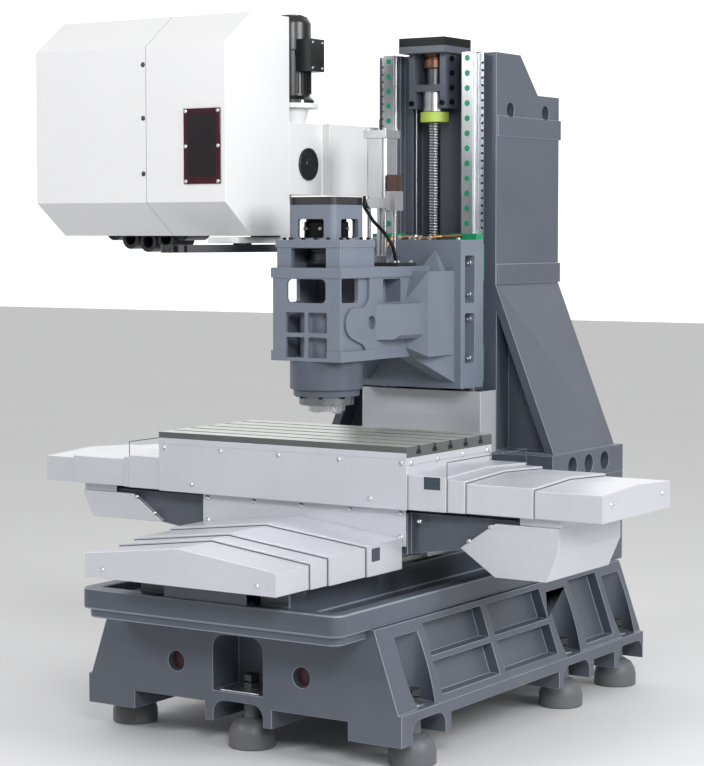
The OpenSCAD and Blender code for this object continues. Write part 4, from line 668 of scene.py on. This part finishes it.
def lathe(name, profile, centre, body, slot, finish, sides=48, axis="Z"):
    """A closed turned piece: profile is radius and height, from the axis out and back."""
    work = bmesh.new()
    rings = []
    for radius, height in profile:
        if radius < 1e-6:
            rings.append([work.verts.new((0, 0, height))])
            continue
        rings.append([work.verts.new((radius * math.cos(math.tau * i / sides),
                                      radius * math.sin(math.tau * i / sides), height))
                      for i in range(sides)])
    for low, high in zip(rings, rings[1:]):
        for i in range(sides):
            j = (i + 1) % sides
            corners = [low[i % len(low)], low[j % len(low)], high[j % len(high)], high[i % len(high)]]
            unique = list(dict.fromkeys(corners))
            if len(unique) > 2:
                work.faces.new(unique)
    turn = {"Z": Matrix.Identity(4), "X": Matrix.Rotation(math.pi / 2, 4, "Y"),
            "Y": Matrix.Rotation(-math.pi / 2, 4, "X")}[axis]
    bmesh.ops.transform(work, matrix=Matrix.Translation(centre) @ turn, verts=work.verts)
    bmesh.ops.recalc_face_normals(work, faces=work.faces)
    mesh = bpy.data.meshes.new(name)
    work.to_mesh(mesh)
    work.free()
    for polygon in mesh.polygons:
        polygon.use_smooth = True
    mesh.set_sharp_from_angle(angle=math.radians(35))
    return settle(new_piece(name, mesh), body, slot, finish)


def blocks(name, boxes, body, slot, finish, width=0.001):
    """Boxes with broken edges, each a low and a high corner, as one piece."""
    work = bmesh.new()
    for low, high in boxes:
        size = [b - a for a, b in zip(low, high)]
        middle = [(a + b) / 2 for a, b in zip(low, high)]
        bmesh.ops.create_cube(work, size=1, matrix=Matrix.Translation(middle)
                              @ Matrix.Diagonal((*size, 1)))
    mesh = bpy.data.meshes.new(name)
    work.to_mesh(mesh)
    work.free()
    piece = new_piece(name, mesh)
    bevel = piece.modifiers.new("edges", "BEVEL")
    bevel.width = width
    bevel.segments = 2
    bake_modifiers(piece)
    return settle(piece, body, slot, finish)


CASTINGS = ("bed", "bed_rim", "column", "saddle", "z_screw_bracket")
HEAD_CASTINGS = ("head", "z_slide")
SHEETS = ("column_apron", "saddle_skirt", "saddle_boxes", "x_cover_brackets", "x_cover_right_4",
          "x_cover_left_4", "x_cover_right_3", "x_cover_left_3", "x_cover_right_2",
          "x_cover_left_2", "x_covers_1", "table_skirt", "y_cover_1", "y_cover_2", "y_cover_3",
          "y_cover_4", "y_cover_bracket", "magazine_housing", "magazine_bracket",
          "magazine_window")
STEELS = ("y_rails", "y_screw", "z_rails", "z_motor_plate", "magazine_axle", "arm_motor",
          "change_arm", "tool_disc", "saddle_carriages", "x_rails", "table", "table_carriages",
          "z_carriages", "cylinder_stand", "release_cylinder", "cylinder_valve",
          "z_bumper", "gearbox_cap", "z_screw", "spindle_nose")
BETTER_FINISH = {"z_rails": "rail_steel", "y_rails": "rail_steel", "x_rails": "rail_steel",
                 "z_screw": "screw_root", "spindle_nose": "steel_round",
                 "cylinder_stand": "stand", "z_motor_plate": "black_oxide"}


class MACHINE_OT_castings(bpy.types.Operator):
    """Round the castings' edges and paint them, with painted highlights on the edges and painted
    light on the head castings
    """

    bl_idname = "machine.castings"
    bl_label = "Castings"

    def execute(self, context):
        width = context.scene.machine_sizes.casting_round
        for node in CASTINGS:
            soften(node, width, segments=3, edge="cast_edge")
        for node in HEAD_CASTINGS:
            soften(node, width, segments=3, finish="head_grey", edge="head_edge")
        soften("motor_tower", width, segments=3, finish="tower_grey", edge="tower_edge")
        soften("levelling_feet", width * 0.4, finish="mount_steel")
        soften("arm_gearbox", width, segments=3, finish="gearbox_white")
        return {"FINISHED"}


class MACHINE_OT_sheets(bpy.types.Operator):
    """Fold the sheet covers' edges and paint them"""

    bl_idname = "machine.sheets"
    bl_label = "Sheet covers"

    def execute(self, context):
        for node in SHEETS:
            soften(node, context.scene.machine_sizes.sheet_round)
        return {"FINISHED"}


class MACHINE_OT_steels(bpy.types.Operator):
    """Break the edges of the steel parts and finish them"""

    bl_idname = "machine.steels"
    bl_label = "Steel parts"

    def execute(self, context):
        width = context.scene.machine_sizes.steel_round
        for node in STEELS:
            soften(node, width, finish=BETTER_FINISH.get(node))
        soften("spindle_housing", width, finish="quill")
        return {"FINISHED"}


class MACHINE_OT_threads(bpy.types.Operator):
    """Wind the Z ball screw's thread"""

    bl_idname = "machine.threads"
    bl_label = "Ball screw threads"

    def execute(self, context):
        PLANS["thread"] = thread_plan()
        pitch = context.scene.machine_sizes.screw_pitch
        low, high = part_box("z_screw")
        bracket_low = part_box("z_bumper")[0][2]
        start = low[2] + 0.09
        on_points("z_screw_thread", "thread", [((0, 0.498, start), UP)], "frame", "steel",
                  "steel_round", Length=bracket_low - start - 0.004, Pitch=pitch,
                  Radius=0.0196, Ridge=0.0030)
        return {"FINISHED"}


def screw_row(low, high, count, fixed, way):
    """Spots evenly along a line from low to high; fixed turns a distance into a place."""
    step = (high - low) / max(count - 1, 1)
    return [(fixed(low + step * i), way) for i in range(count)]


class MACHINE_OT_sheet_screws(bpy.types.Operator):
    """Put the domed screws in the skirts, the covers and the magazine"""

    bl_idname = "machine.sheet_screws"
    bl_label = "Sheet screws"

    def execute(self, context):
        PLANS["head"] = fastener_plan()
        low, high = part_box("table_skirt")
        top = high[2] - 0.018
        bottom = low[2] + 0.03
        spots = screw_row(low[0] + 0.022, high[0] - 0.022, 5, lambda x: (x, low[1], top), FRONT)
        spots += [((low[0] + f * (high[0] - low[0]), low[1], bottom), FRONT) for f in (0.14, 0.86)]
        spots += screw_row(low[0] + 0.03, high[0] - 0.03, 5, lambda x: (x, high[1], top), BACK)
        for x, way in ((low[0], LEFT), (high[0], RIGHT)):
            spots += screw_row(low[1] + 0.03, high[1] - 0.03, 4, lambda y: (x, y, top), way)
        on_points("table_skirt_screws", "head", spots, "table", "light_steel", "zinc", **DOME)
        low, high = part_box("saddle_skirt")
        spots = screw_row(low[0] + 0.02, high[0] - 0.02, 5, lambda x: (x, low[1], high[2] - 0.014),
                          FRONT)
        spots += [((x, low[1], low[2] + 0.03), FRONT) for x in (low[0] + 0.02, high[0] - 0.02)]
        on_points("saddle_skirt_screws", "head", spots, "saddle", "light_steel", "zinc", **DOME)
        self.cover_screws()
        self.magazine_screws()
        return {"FINISHED"}

    def cover_screws(self):
        low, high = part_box("y_cover_1")
        spots = [((x, low[1], low[2] + 0.028), FRONT) for x in (low[0] + 0.07, high[0] - 0.07)]
        on_points("front_cover_screws", "head", spots, "frame", "light_steel", "zinc", **DOME)
        spots = []
        for node, way, sign in (("x_cover_right_4", RIGHT, 1), ("x_cover_left_4", LEFT, -1)):
            low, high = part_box(node)
            end = high[0] if sign > 0 else low[0]
            spots += [((end, y, low[2] + 0.052), way) for y in (low[1] + 0.06, high[1] - 0.06)]
        low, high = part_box("saddle_boxes")
        spots += [((x, low[1], z), FRONT) for x, z in BOX_SCREWS]
        on_points("side_cover_screws", "head", spots, "saddle", "light_steel", "zinc", **DOME)

    def magazine_screws(self):
        low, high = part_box("magazine_housing")
        seam = -0.622
        spots = [((seam, low[1], low[2] + part * (high[2] - low[2])), FRONT)
                 for part in (0.28, 0.53, 0.77)]
        on_points("magazine_screws", "head", spots, "frame", "dark_steel", "dark_steel", **DOME)
        low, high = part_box("magazine_window")
        edge = 0.009
        spots = [((x, low[1], z), FRONT) for x in (low[0] + edge, high[0] - edge)
                 for z in (low[2] + edge, (low[2] + high[2]) / 2, high[2] - edge)]
        on_points("window_screws", "head", spots, "frame", "light_steel", "zinc",
                  **{**DOME, "Radius": 0.0065, "Height": 0.0035, "Edge": 0.0022})


class MACHINE_OT_fasteners(bpy.types.Operator):
    """Fit the rail caps, socket screws, nuts and washers"""

    bl_idname = "machine.fasteners"
    bl_label = "Caps and bolts"

    def execute(self, context):
        sizes = context.scene.machine_sizes
        self.rail_caps(sizes.cap_pitch, sizes.cap_radius)
        self.column_bolts()
        self.head_bolts()
        self.bed_bolts()
        return {"FINISHED"}

    def rail_caps(self, pitch, radius):
        low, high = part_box("z_rails")
        rows = int((high[2] - low[2] - 0.04) / pitch)
        spots = [((sign * 0.164, low[1], high[2] - 0.022 - pitch * i), FRONT)
                 for sign in (-1, 1) for i in range(rows + 1)]
        on_points("z_rail_caps", "head", spots, "frame", "green", "green",
                  **{**PLUG, "Radius": radius})
        low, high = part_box("y_rails")
        rows = int((high[1] - low[1] - 0.04) / 0.105)
        spots = [((sign * 0.235, low[1] + 0.03 + 0.105 * i, high[2]), UP)
                 for sign in (-1, 1) for i in range(rows + 1)]
        on_points("y_rail_caps", "head", spots, "frame", "green", "green",
                  **{**PLUG, "Radius": 0.0095, "Height": 0.00022, "Edge": 0.0001,
                     "Depth": 0.00005})

    def column_bolts(self):
        low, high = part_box("z_rails")
        steps = int((high[2] - low[2]) / 0.0265)
        inner, outer = 0.1875, 0.2125
        seat_y = high[1]
        strips = [((min(sign * inner, sign * outer), seat_y - 0.005, low[2] + 0.01),
                   (max(sign * inner, sign * outer), seat_y, high[2] - 0.004))
                  for sign in (-1, 1)]
        blocks("rail_wedges", strips, "frame", "steel", "steel", width=0.0008)
        spots = [((sign * 0.207, seat_y - 0.005, low[2] + 0.03 + 0.0265 * i), FRONT)
                 for sign in (-1, 1) for i in range(steps - 1)]
        on_points("rail_wedge_screws", "head", spots, "frame", "dark_steel", "black_oxide",
                  **{**DOME, "Radius": 0.0045, "Height": 0.0022, "Edge": 0.001})
        low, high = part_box("z_screw_bracket")
        cheek = 0.076
        spots = [((sign * cheek, 0.480, z), (sign, 0, 0)) for sign in (-1, 1)
                 for z in (2.117, 2.166, 2.219, 2.270)]
        spots += [((sign * 0.063, low[1] if low[1] > 0.44 else 0.444, z), FRONT)
                  for sign in (-1, 1) for z in (2.112,)]
        on_points("bracket_bolts", "head", spots, "frame", "dark_steel", "black_oxide", **SOCKET)
        low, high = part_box("gearbox_cap")
        middle = ((low[1] + high[1]) / 2, (low[2] + high[2]) / 2)
        ring = 0.046
        spots = [((low[0] + 0.008, middle[0] + ring * math.cos(math.tau * i / 8),
                   middle[1] + ring * math.sin(math.tau * i / 8)), RIGHT) for i in range(8)]
        on_points("gearbox_cap_screws", "head", spots, "frame", "dark_steel", "dark_steel",
                  **{**SOCKET, "Radius": 0.0055, "Height": 0.003, "Depth": 0.0018})
        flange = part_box("column")
        low, high = flange
        spots = []
        for y in (0.617, 0.750, 0.883):
            for sign in (-1, 1):
                spots.append(((sign * (high[0] - 0.058), y, 0.819), (sign, 0, 0)))
        on_points("column_foot_bolts", "head", spots, "frame", "dark_steel", "black_oxide",
                  **{**SOCKET, "Radius": 0.017, "Height": 0.02, "Depth": 0.009, "Sides": 28})

    def head_bolts(self):
        low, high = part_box("motor_tower")
        tier_top = low[2] + 0.092
        spots = []
        for x in (-0.113, 0.113):
            spots += [((x, -0.206 + dy, tier_top), UP) for dy in (-0.082, -0.04, 0.04, 0.082)]
        spots += [((x, -0.307, tier_top), UP) for x in (-0.075, -0.025, 0.025, 0.075)]
        on_points("tower_bolts", "head", spots, "head", "dark_steel", "black_oxide",
                  **{**SOCKET, "Radius": 0.006, "Height": 0.008})
        low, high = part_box("release_cylinder")
        inset = 0.010
        corners = [(x, y) for x in (low[0] + inset, high[0] - inset)
                   for y in (low[1] + inset, high[1] - inset)]
        spots = [((x, y, high[2]), UP) for x, y in corners]
        on_points("cylinder_bolts", "head", spots, "head", "light_steel", "zinc",
                  **{**SOCKET, "Radius": 0.006, "Height": 0.006, "Depth": 0.003})
        low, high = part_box("cylinder_stand")
        plate = low[2] + 0.012
        spots = [((x, y, plate), UP) for x in (low[0] + 0.009, 0.085)
                 for y in (low[1] + 0.009, high[1] - 0.009)]
        spots.append(((0.066, 0.141, plate), UP))
        on_points("stand_bolts", "head", spots, "head", "light_steel", "zinc",
                  **{**SOCKET, "Radius": 0.006, "Height": 0.007, "Depth": 0.003})
        low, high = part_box("z_slide")
        middle = high[0] - 0.020
        spots = [((sign * middle, low[1] + 0.096, z), FRONT) for sign in (-1, 1)
                 for z in (1.210, 1.348, 1.434, 1.545)]
        on_points("slide_bolts", "head", spots, "head", "light_steel", "zinc", **SOCKET)
        low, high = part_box("spindle_housing")
        ring = 0.1
        spots = [((ring * math.cos(math.tau * (i + 0.5) / 8),
                   -0.206 + ring * math.sin(math.tau * (i + 0.5) / 8), low[2] + 0.0305), DOWN)
                 for i in range(8)]
        on_points("quill_bolts", "head", spots, "head", "dark_steel", "black_oxide",
                  **{**SOCKET, "Radius": 0.006, "Height": 0.007, "Depth": 0.004})

    def bed_bolts(self):
        low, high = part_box("levelling_feet")
        ledge = 0.186
        feet = [(sign * 0.551, y) for sign in (-1, 1) for y in (-0.552, 0.442, 0.870)]
        feet.append((0.0, low[1] + 0.076))
        spots = [((x, y, ledge), UP) for x, y in feet]
        on_points("levelling_washers", "head", spots, "frame", "light_steel", "zinc",
                  Radius=0.038, Height=0.005, Edge=0.001, Taper=0.97, Recess=0.6, Depth=0.0003,
                  Sides=32)
        blocks("front_mount_plate", [((-0.076, low[1] + 0.006, ledge - 0.0002),
                                      (0.076, low[1] + 0.146, ledge + 0.004))],
               "frame", "light_steel", "light_steel", width=0.001)
        spots = [((x, y, ledge + dz), UP) for x, y in feet for dz in (0.005, 0.030)]
        on_points("levelling_nuts", "head", spots, "frame", "dark_steel", "black",
                  Radius=0.026, Height=0.021, Edge=0.002, Taper=0.88, Recess=0.5, Depth=0.0004,
                  Sides=6)


class MACHINE_OT_head_fittings(bpy.types.Operator):
    """Add the couplings, seals, oil pipes and blank plates"""

    bl_idname = "machine.head_fittings"
    bl_label = "Couplings, seals and pipes"

    def execute(self, context):
        PLANS["pipe"] = pipe_plan()
        self.couplings()
        self.seals()
        self.pipes()
        self.plates()
        return {"FINISHED"}

    def couplings(self):
        profile = [(0.0, 0.0), (0.072, 0.0), (0.074, 0.002), (0.074, 0.056), (0.072, 0.058),
                   (0.068, 0.060), (0.068, 0.068), (0.072, 0.070), (0.074, 0.072),
                   (0.074, 0.122), (0.0, 0.122)]
        lathe("spindle_coupling", profile, (0, -0.206, 1.628), "head", "dark_steel", "black_oxide")
        spots = [((0.0735 * math.cos(angle), -0.206 + 0.0735 * math.sin(angle), z),
                  (math.cos(angle), math.sin(angle), 0))
                 for angle in (math.tau * (i + 0.4) / 8 for i in range(8)) for z in (1.664, 1.716)]
        on_points("coupling_screws", "head", spots, "head", "light_steel", "zinc",
                  **{**SOCKET, "Radius": 0.006, "Height": 0.005, "Depth": 0.003})
        lathe("spindle_pulley", [(0.0, 0.0), (0.060, 0.0), (0.062, 0.003), (0.062, 0.012),
                                 (0.054, 0.014), (0.054, 0.040), (0.062, 0.042), (0.062, 0.050),
                                 (0.0, 0.050)],
              (0, -0.206, 1.545), "head", "dark_steel", "dark_steel")
        lathe("z_coupling", [(0.0, 0.0), (0.040, 0.0), (0.042, 0.002), (0.042, 0.030),
                             (0.034, 0.032), (0.034, 0.040), (0.042, 0.042), (0.042, 0.072),
                             (0.040, 0.074), (0.0, 0.074)],
              (0, 0.498, 2.2375), "frame", "brown", "bronze")
        lathe("z_bearing_cover", [(0.0381, 0.0), (0.0415, 0.0), (0.0425, 0.001), (0.0425, 0.088),
                                  (0.0405, 0.090), (0.0381, 0.090), (0.0381, 0.0)],
              (0, 0.498, 2.084), "frame", "light_steel", "light_steel")

    def seals(self):
        low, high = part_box("z_rails")
        slide_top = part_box("z_slide")[1][2]
        boxes = []
        for sign in (-1, 1):
            x = sign * 0.164
            z0, z1 = slide_top - 0.012, slide_top + 0.022
            boxes.append(((x - 0.053, 0.421, z0), (x + 0.053, low[1] - 0.0015, z1)))
            boxes.append(((x - 0.053, low[1] - 0.0035, z0), (x - 0.0245, high[1] - 0.012, z1)))
            boxes.append(((x + 0.0245, low[1] - 0.0035, z0), (x + 0.053, high[1] - 0.012, z1)))
        blocks("rail_seals", boxes, "head", "green", "green", width=0.0012)
        boxes = []
        for low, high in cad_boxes("z_carriages"):
            for z0, z1 in ((low[2] - 0.010, low[2] + 0.001), (high[2] - 0.001, high[2] + 0.010)):
                boxes.append(((low[0] + 0.004, low[1] + 0.003, z0),
                              (high[0] - 0.004, low[1] + 0.018, z1)))
        blocks("carriage_seals", boxes, "head", "green", "green", width=0.001)

    def pipes(self):
        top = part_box("z_slide")[1][2]
        y = 0.300
        path = [(-0.060, 0.230, 1.552), (-0.060, 0.262, 1.600), (-0.052, y, top + 0.012),
                (-0.020, y, top + 0.006), (0.010, y, top + 0.011), (0.040, y, top + 0.006),
                (0.090, y, top + 0.006), (0.128, y + 0.02, top + 0.012),
                (0.158, 0.418, top + 0.014)]
        along_path("oil_pipe", path, "head", "brown", "brass", Radius=0.0062, Bend=0.018)
        spots = [((x, y, top + 0.0065), RIGHT) for x in (-0.030, 0.012, 0.052, 0.092)]
        on_points("oil_pipe_nuts", "head", spots, "head", "light_steel", "zinc",
                  **{**HEX, "Radius": 0.0095, "Height": 0.012, "Washer_Radius": 0.0})
        path = [(-0.150, 0.300, top + 0.005), (-0.100, 0.306, top + 0.005),
                (-0.052, 0.312, top + 0.005), (0.115, 0.312, top + 0.005)]
        along_path("return_pipe", path, "head", "light_steel", "light_steel", Radius=0.003,
                   Bend=0.01)
        path = [(-0.044, 0.098, 1.775), (-0.038, 0.086, 1.740), (0.004, 0.080, 1.690),
                (0.050, 0.082, 1.648), (0.076, 0.092, 1.605), (0.078, 0.110, 1.546)]
        along_path("cylinder_pipe", path, "head", "dark_steel", "black_oxide", Radius=0.006,
                   Bend=0.03)
        path = [(-0.090, 0.520, 1.64), (-0.090, 0.520, 2.16)]
        along_path("column_pipe", path, "frame", "light_steel", "light_steel", Radius=0.003,
                   Bend=0.001)
        fittings = [((-0.052, 0.300, top), UP), ((0.150, 0.410, top + 0.001), UP),
                    ((0.040, 0.300, top), UP)]
        on_points("pipe_fittings", "head", fittings, "head", "light_steel", "zinc",
                  Radius=0.008, Height=0.016, Edge=0.002, Taper=0.8, Recess=0.6, Depth=0.001,
                  Sides=6, Washer_Radius=0.010, Washer_Height=0.002)

    def plates(self):
        low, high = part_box("table_skirt")
        blocks("skirt_strip", [((low[0] + 0.001, low[1] - 0.0015, high[2] - 0.004),
                                (high[0] - 0.001, low[1] + 0.0004, high[2] + 0.015))],
               "table", "silver_paint", "silver_paint", width=0.0004)
        low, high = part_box("y_cover_1")
        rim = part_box("bed_rim")
        # A black block in the gap between the front cover and the bed rim: painted shadow under the
        # cover's lower edge.
        blocks("rim_strip", [((low[0] + 0.012, rim[0][1] + 0.024, rim[1][2] - 0.0004),
                              (high[0] - 0.006, rim[0][1] + 0.040, low[2] - 0.002))],
               "frame", "black", "black", width=0.001)
        ledge = 0.264
        for name, x in (("left_hole_plug", -0.246), ("right_hole_plug", 0.246)):
            lathe(name, [(0.0, 0.0), (0.0325, 0.0), (0.0325, 0.004), (0.0, 0.004)],
                  (x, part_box("bed")[0][1] + 0.030, ledge), "frame", "brown", "plug_red", axis="Y")
        low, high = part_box("x_covers_1")
        right = high[0]
        blocks("side_plate", [((right - 0.080, low[1] - 0.0008, high[2] - 0.096),
                               (right - 0.020, low[1] + 0.0004, high[2] - 0.056))],
               "table", "dark_steel", "plate_blank", width=0.0003)
        low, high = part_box("y_cover_4")
        blocks("front_plate", [((high[0] - 0.0004, low[1] + 0.022, high[2] - 0.098),
                                (high[0] + 0.0008, low[1] + 0.070, high[2] - 0.056))],
               "saddle", "dark_steel", "plate_blank", width=0.0003)


class MACHINE_OT_wipers_and_painted_shadows(bpy.types.Operator):
    """Lay the rubber wipers under the lips of the telescopic covers, whose dark beads also stand for
    the painted shadow line under each lip
    """

    bl_idname = "machine.wipers"
    bl_label = "Cover wipers"

    def execute(self, context):
        for node, end in (("x_cover_right_2", 1), ("x_cover_right_3", 1), ("x_covers_1", 1),
                          ("x_cover_left_2", -1), ("x_cover_left_3", -1), ("x_covers_1", -1)):
            side = "right" if end > 0 else "left"
            self.wiper(node + "_wiper_" + side, node, 0, end)
        for node in ("y_cover_4", "y_cover_3", "y_cover_2"):
            self.wiper(node + "_wiper", node, 1, -1)
        return {"FINISHED"}

    def wiper(self, name, node, along, end):
        """A bead that follows the gable at one end of a cover, on the next cover's skin; its dark
        rubber also stands for the painted shadow under the lip.
        """
        low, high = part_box(node)
        across = 1 - along
        inset = 0.0072
        eaves = max(vert.co.z for vert in frame["nodes"][node].data.vertices
                    if vert.co[across] < low[across] + 0.0001) - inset
        left, right = low[across] + inset, high[across] - inset
        ridge = ((left + right) / 2, high[2] - inset)
        mouth = (high[along] if end > 0 else low[along]) + end * 0.0008
        path = []
        for place, z in ((left, low[2] + 0.002), (left, eaves), ridge, (right, eaves),
                         (right, low[2] + 0.002)):
            spot = [0, 0, z]
            spot[along] = mouth
            spot[across] = place
            path.append(tuple(spot))
        # Dark rubber bead: a real wiper, and painted shadow under the cover's lip.
        along_path(name, path, BODY_OF[node], "black", "rubber", Radius=0.0014, Bend=0.001)


class MACHINE_OT_arm_motor_parts(bpy.types.Operator):
    """Fit the arm motor's fins and fan cowl"""

    bl_idname = "machine.arm_motor_parts"
    bl_label = "Arm motor"

    def execute(self, context):
        PLANS["fins"] = fin_plan()
        low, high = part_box("arm_motor")
        radius = 0.064
        centre = (-0.330, 0.072)
        height = 0.125
        base = low[2] + 0.034
        on_points("arm_motor_fins", "fins", [((centre[0], centre[1], base + height / 2), UP)],
                  "frame", "black", "black", Count=context.scene.machine_sizes.fin_count,
                  Radius=radius, Depth=0.010, Thickness=0.0024, Height=height)
        spots = [((centre[0] + 0.079 * math.cos(math.tau * (i + 0.5) / 6),
                   centre[1] + 0.079 * math.sin(math.tau * (i + 0.5) / 6), low[2]), UP)
                 for i in range(6)]
        on_points("arm_motor_bolts", "head", spots, "frame", "light_steel", "zinc",
                  **{**HEX, "Radius": 0.007, "Washer_Radius": 0.009})
        on_points("arm_motor_cover_screws", "head",
                  [((high[0], y, z), RIGHT) for y in (0.040, 0.098)
                   for z in (low[2] + 0.120, low[2] + 0.208)],
                  "frame", "light_steel", "zinc", **{**DOME, "Radius": 0.005})
        lathe("fan_grille", [(0.0, 0.0), (0.040, 0.0), (0.042, 0.002), (0.042, 0.005),
                             (0.036, 0.007), (0.0, 0.007)],
              (centre[0], centre[1], high[2] - 0.0005), "frame", "black", "black", sides=32)
        return {"FINISHED"}


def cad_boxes(node):
    """The box of each separate solid of a CAD node."""
    work = bmesh.new()
    work.from_mesh(frame["nodes"][node].data)
    bmesh.ops.remove_doubles(work, verts=work.verts, dist=0.00001)
    left = set(work.verts)
    found = []
    while left:
        front = [left.pop()]
        group = []
        while front:
            vert = front.pop()
            group.append(vert)
            for edge in vert.link_edges:
                other = edge.other_vert(vert)
                if other in left:
                    left.remove(other)
                    front.append(other)
        found.append((tuple(min(v.co[i] for v in group) for i in range(3)),
                      tuple(max(v.co[i] for v in group) for i in range(3))))
    work.free()
    return sorted(found)


class MACHINE_OT_stage(bpy.types.Operator):
    """Set the floor, the studio lights and the camera"""

    bl_idname = "machine.stage"
    bl_label = "Stage"

    def execute(self, context):
        floor_mesh = bpy.data.meshes.new("floor")
        reach = 30.0
        corners = [(-reach, -reach, 0), (reach, -reach, 0), (reach, reach, 0), (-reach, reach, 0)]
        floor_mesh.from_pydata(corners, [], [(0, 1, 2, 3)])
        floor = new_piece("floor", floor_mesh)
        board = Board("floor", roughness=0.75)
        board.link("Base Color", board.blend(board.noise(0.8, detail=5), srgb(206, 206, 207),
                                             srgb(213, 213, 214)))
        floor.data.materials.append(board.material)
        studio_world(context.scene)
        context.scene.view_settings.view_transform = "Standard"
        area_light("key", (3.4, -4.2, 3.4), (0.0, -0.1, 1.6), 1.4, 120)
        area_light("side", (5.6, -0.6, 3.4), (0.1, 0.0, 1.2), 2.4, 230)
        area_light("left", (-3.0, -5.0, 4.0), (-0.2, 0.0, 1.5), 1.6, 120)
        set_camera(context.scene)
        return {"FINISHED"}


def studio_world(scene):
    """Soft surround: bright behind the machine, half as bright overhead, dim in front."""
    world = bpy.data.worlds.new("studio")
    world.use_nodes = True
    room = Nodes()
    room.tree = world.node_tree
    way = room.node("ShaderNodeTexCoord", output="Generated")
    split = room.node("ShaderNodeSeparateXYZ", {}, {"Vector": way})
    side = [Wire(room, split.socket.node.outputs[axis]) for axis in "XYZ"]
    behind = side[1] * 0.84 - side[0] * 0.55
    strength = (behind * 1.28).most(0.14) + (side[2] * 0.6).most(0.0)
    room.tree.links.new(strength.socket, room.tree.nodes["Background"].inputs["Strength"])
    room.tree.nodes["Background"].inputs["Color"].default_value = (1, 1, 1, 1)
    scene.world = world


def area_light(name, place, aim, size, power):
    lamp = bpy.data.lights.new(name, "AREA")
    lamp.size = size
    lamp.energy = power
    item = bpy.data.objects.new(name, lamp)
    item.location = place
    item.rotation_euler = (Vector(aim) - Vector(place)).to_track_quat("-Z", "Y").to_euler()
    bpy.context.scene.collection.objects.link(item)


def set_camera(scene):
    """The photograph's own viewpoint, from the solved camera."""
    place = Vector((4.020, -6.216, 1.653))
    yaw, pitch, roll = (math.radians(angle) for angle in (33.10, 4.00, -0.04))
    focal_px, picture_h, sensor = 2160, 766, 36.0
    data = bpy.data.cameras.new("photo_camera")
    data.sensor_width = sensor
    data.lens = focal_px / picture_h * sensor
    camera = bpy.data.objects.new("photo_camera", data)
    camera.matrix_world = (Matrix.Translation(place) @ Matrix.Rotation(yaw, 4, "Z")
                           @ Matrix.Rotation(math.pi / 2 - pitch, 4, "X")
                           @ Matrix.Rotation(roll, 4, "Z"))
    scene.collection.objects.link(camera)
    scene.camera = camera


class MACHINE_PT_panel(bpy.types.Panel):
    """Lists the machine's sizes, colours and steps"""

    bl_label = "Machining centre"
    bl_idname = "MACHINE_PT_panel"
    bl_space_type = "VIEW_3D"
    bl_region_type = "UI"
    bl_category = "Machine"

    def draw(self, context):
        for group in (context.scene.machine_sizes, context.scene.machine_colours):
            for key in group.__annotations__:
                self.layout.prop(group, key)
        for step in STEPS:
            self.layout.operator(step.bl_idname)


STEPS = (MACHINE_OT_castings, MACHINE_OT_sheets, MACHINE_OT_steels, MACHINE_OT_sheet_screws,
         MACHINE_OT_fasteners, MACHINE_OT_threads, MACHINE_OT_head_fittings,
         MACHINE_OT_wipers_and_painted_shadows, MACHINE_OT_arm_motor_parts, MACHINE_OT_stage)
GROUPS = (MachineSizes, MachineColours)


def register():
    for item in (*GROUPS, *STEPS, MACHINE_PT_panel):
        bpy.utils.register_class(item)
    bpy.types.Scene.machine_sizes = PointerProperty(type=MachineSizes)
    bpy.types.Scene.machine_colours = PointerProperty(type=MachineColours)


def unregister():
    del bpy.types.Scene.machine_sizes
    del bpy.types.Scene.machine_colours
    for item in reversed((*GROUPS, *STEPS, MACHINE_PT_panel)):
        bpy.utils.unregister_class(item)


def main():
    register()
    FINISH.update(finishes())
    for step in STEPS:
        group, name = step.bl_idname.split(".")
        getattr(getattr(bpy.ops, group), name)()


if __name__ == "__main__":
    main()
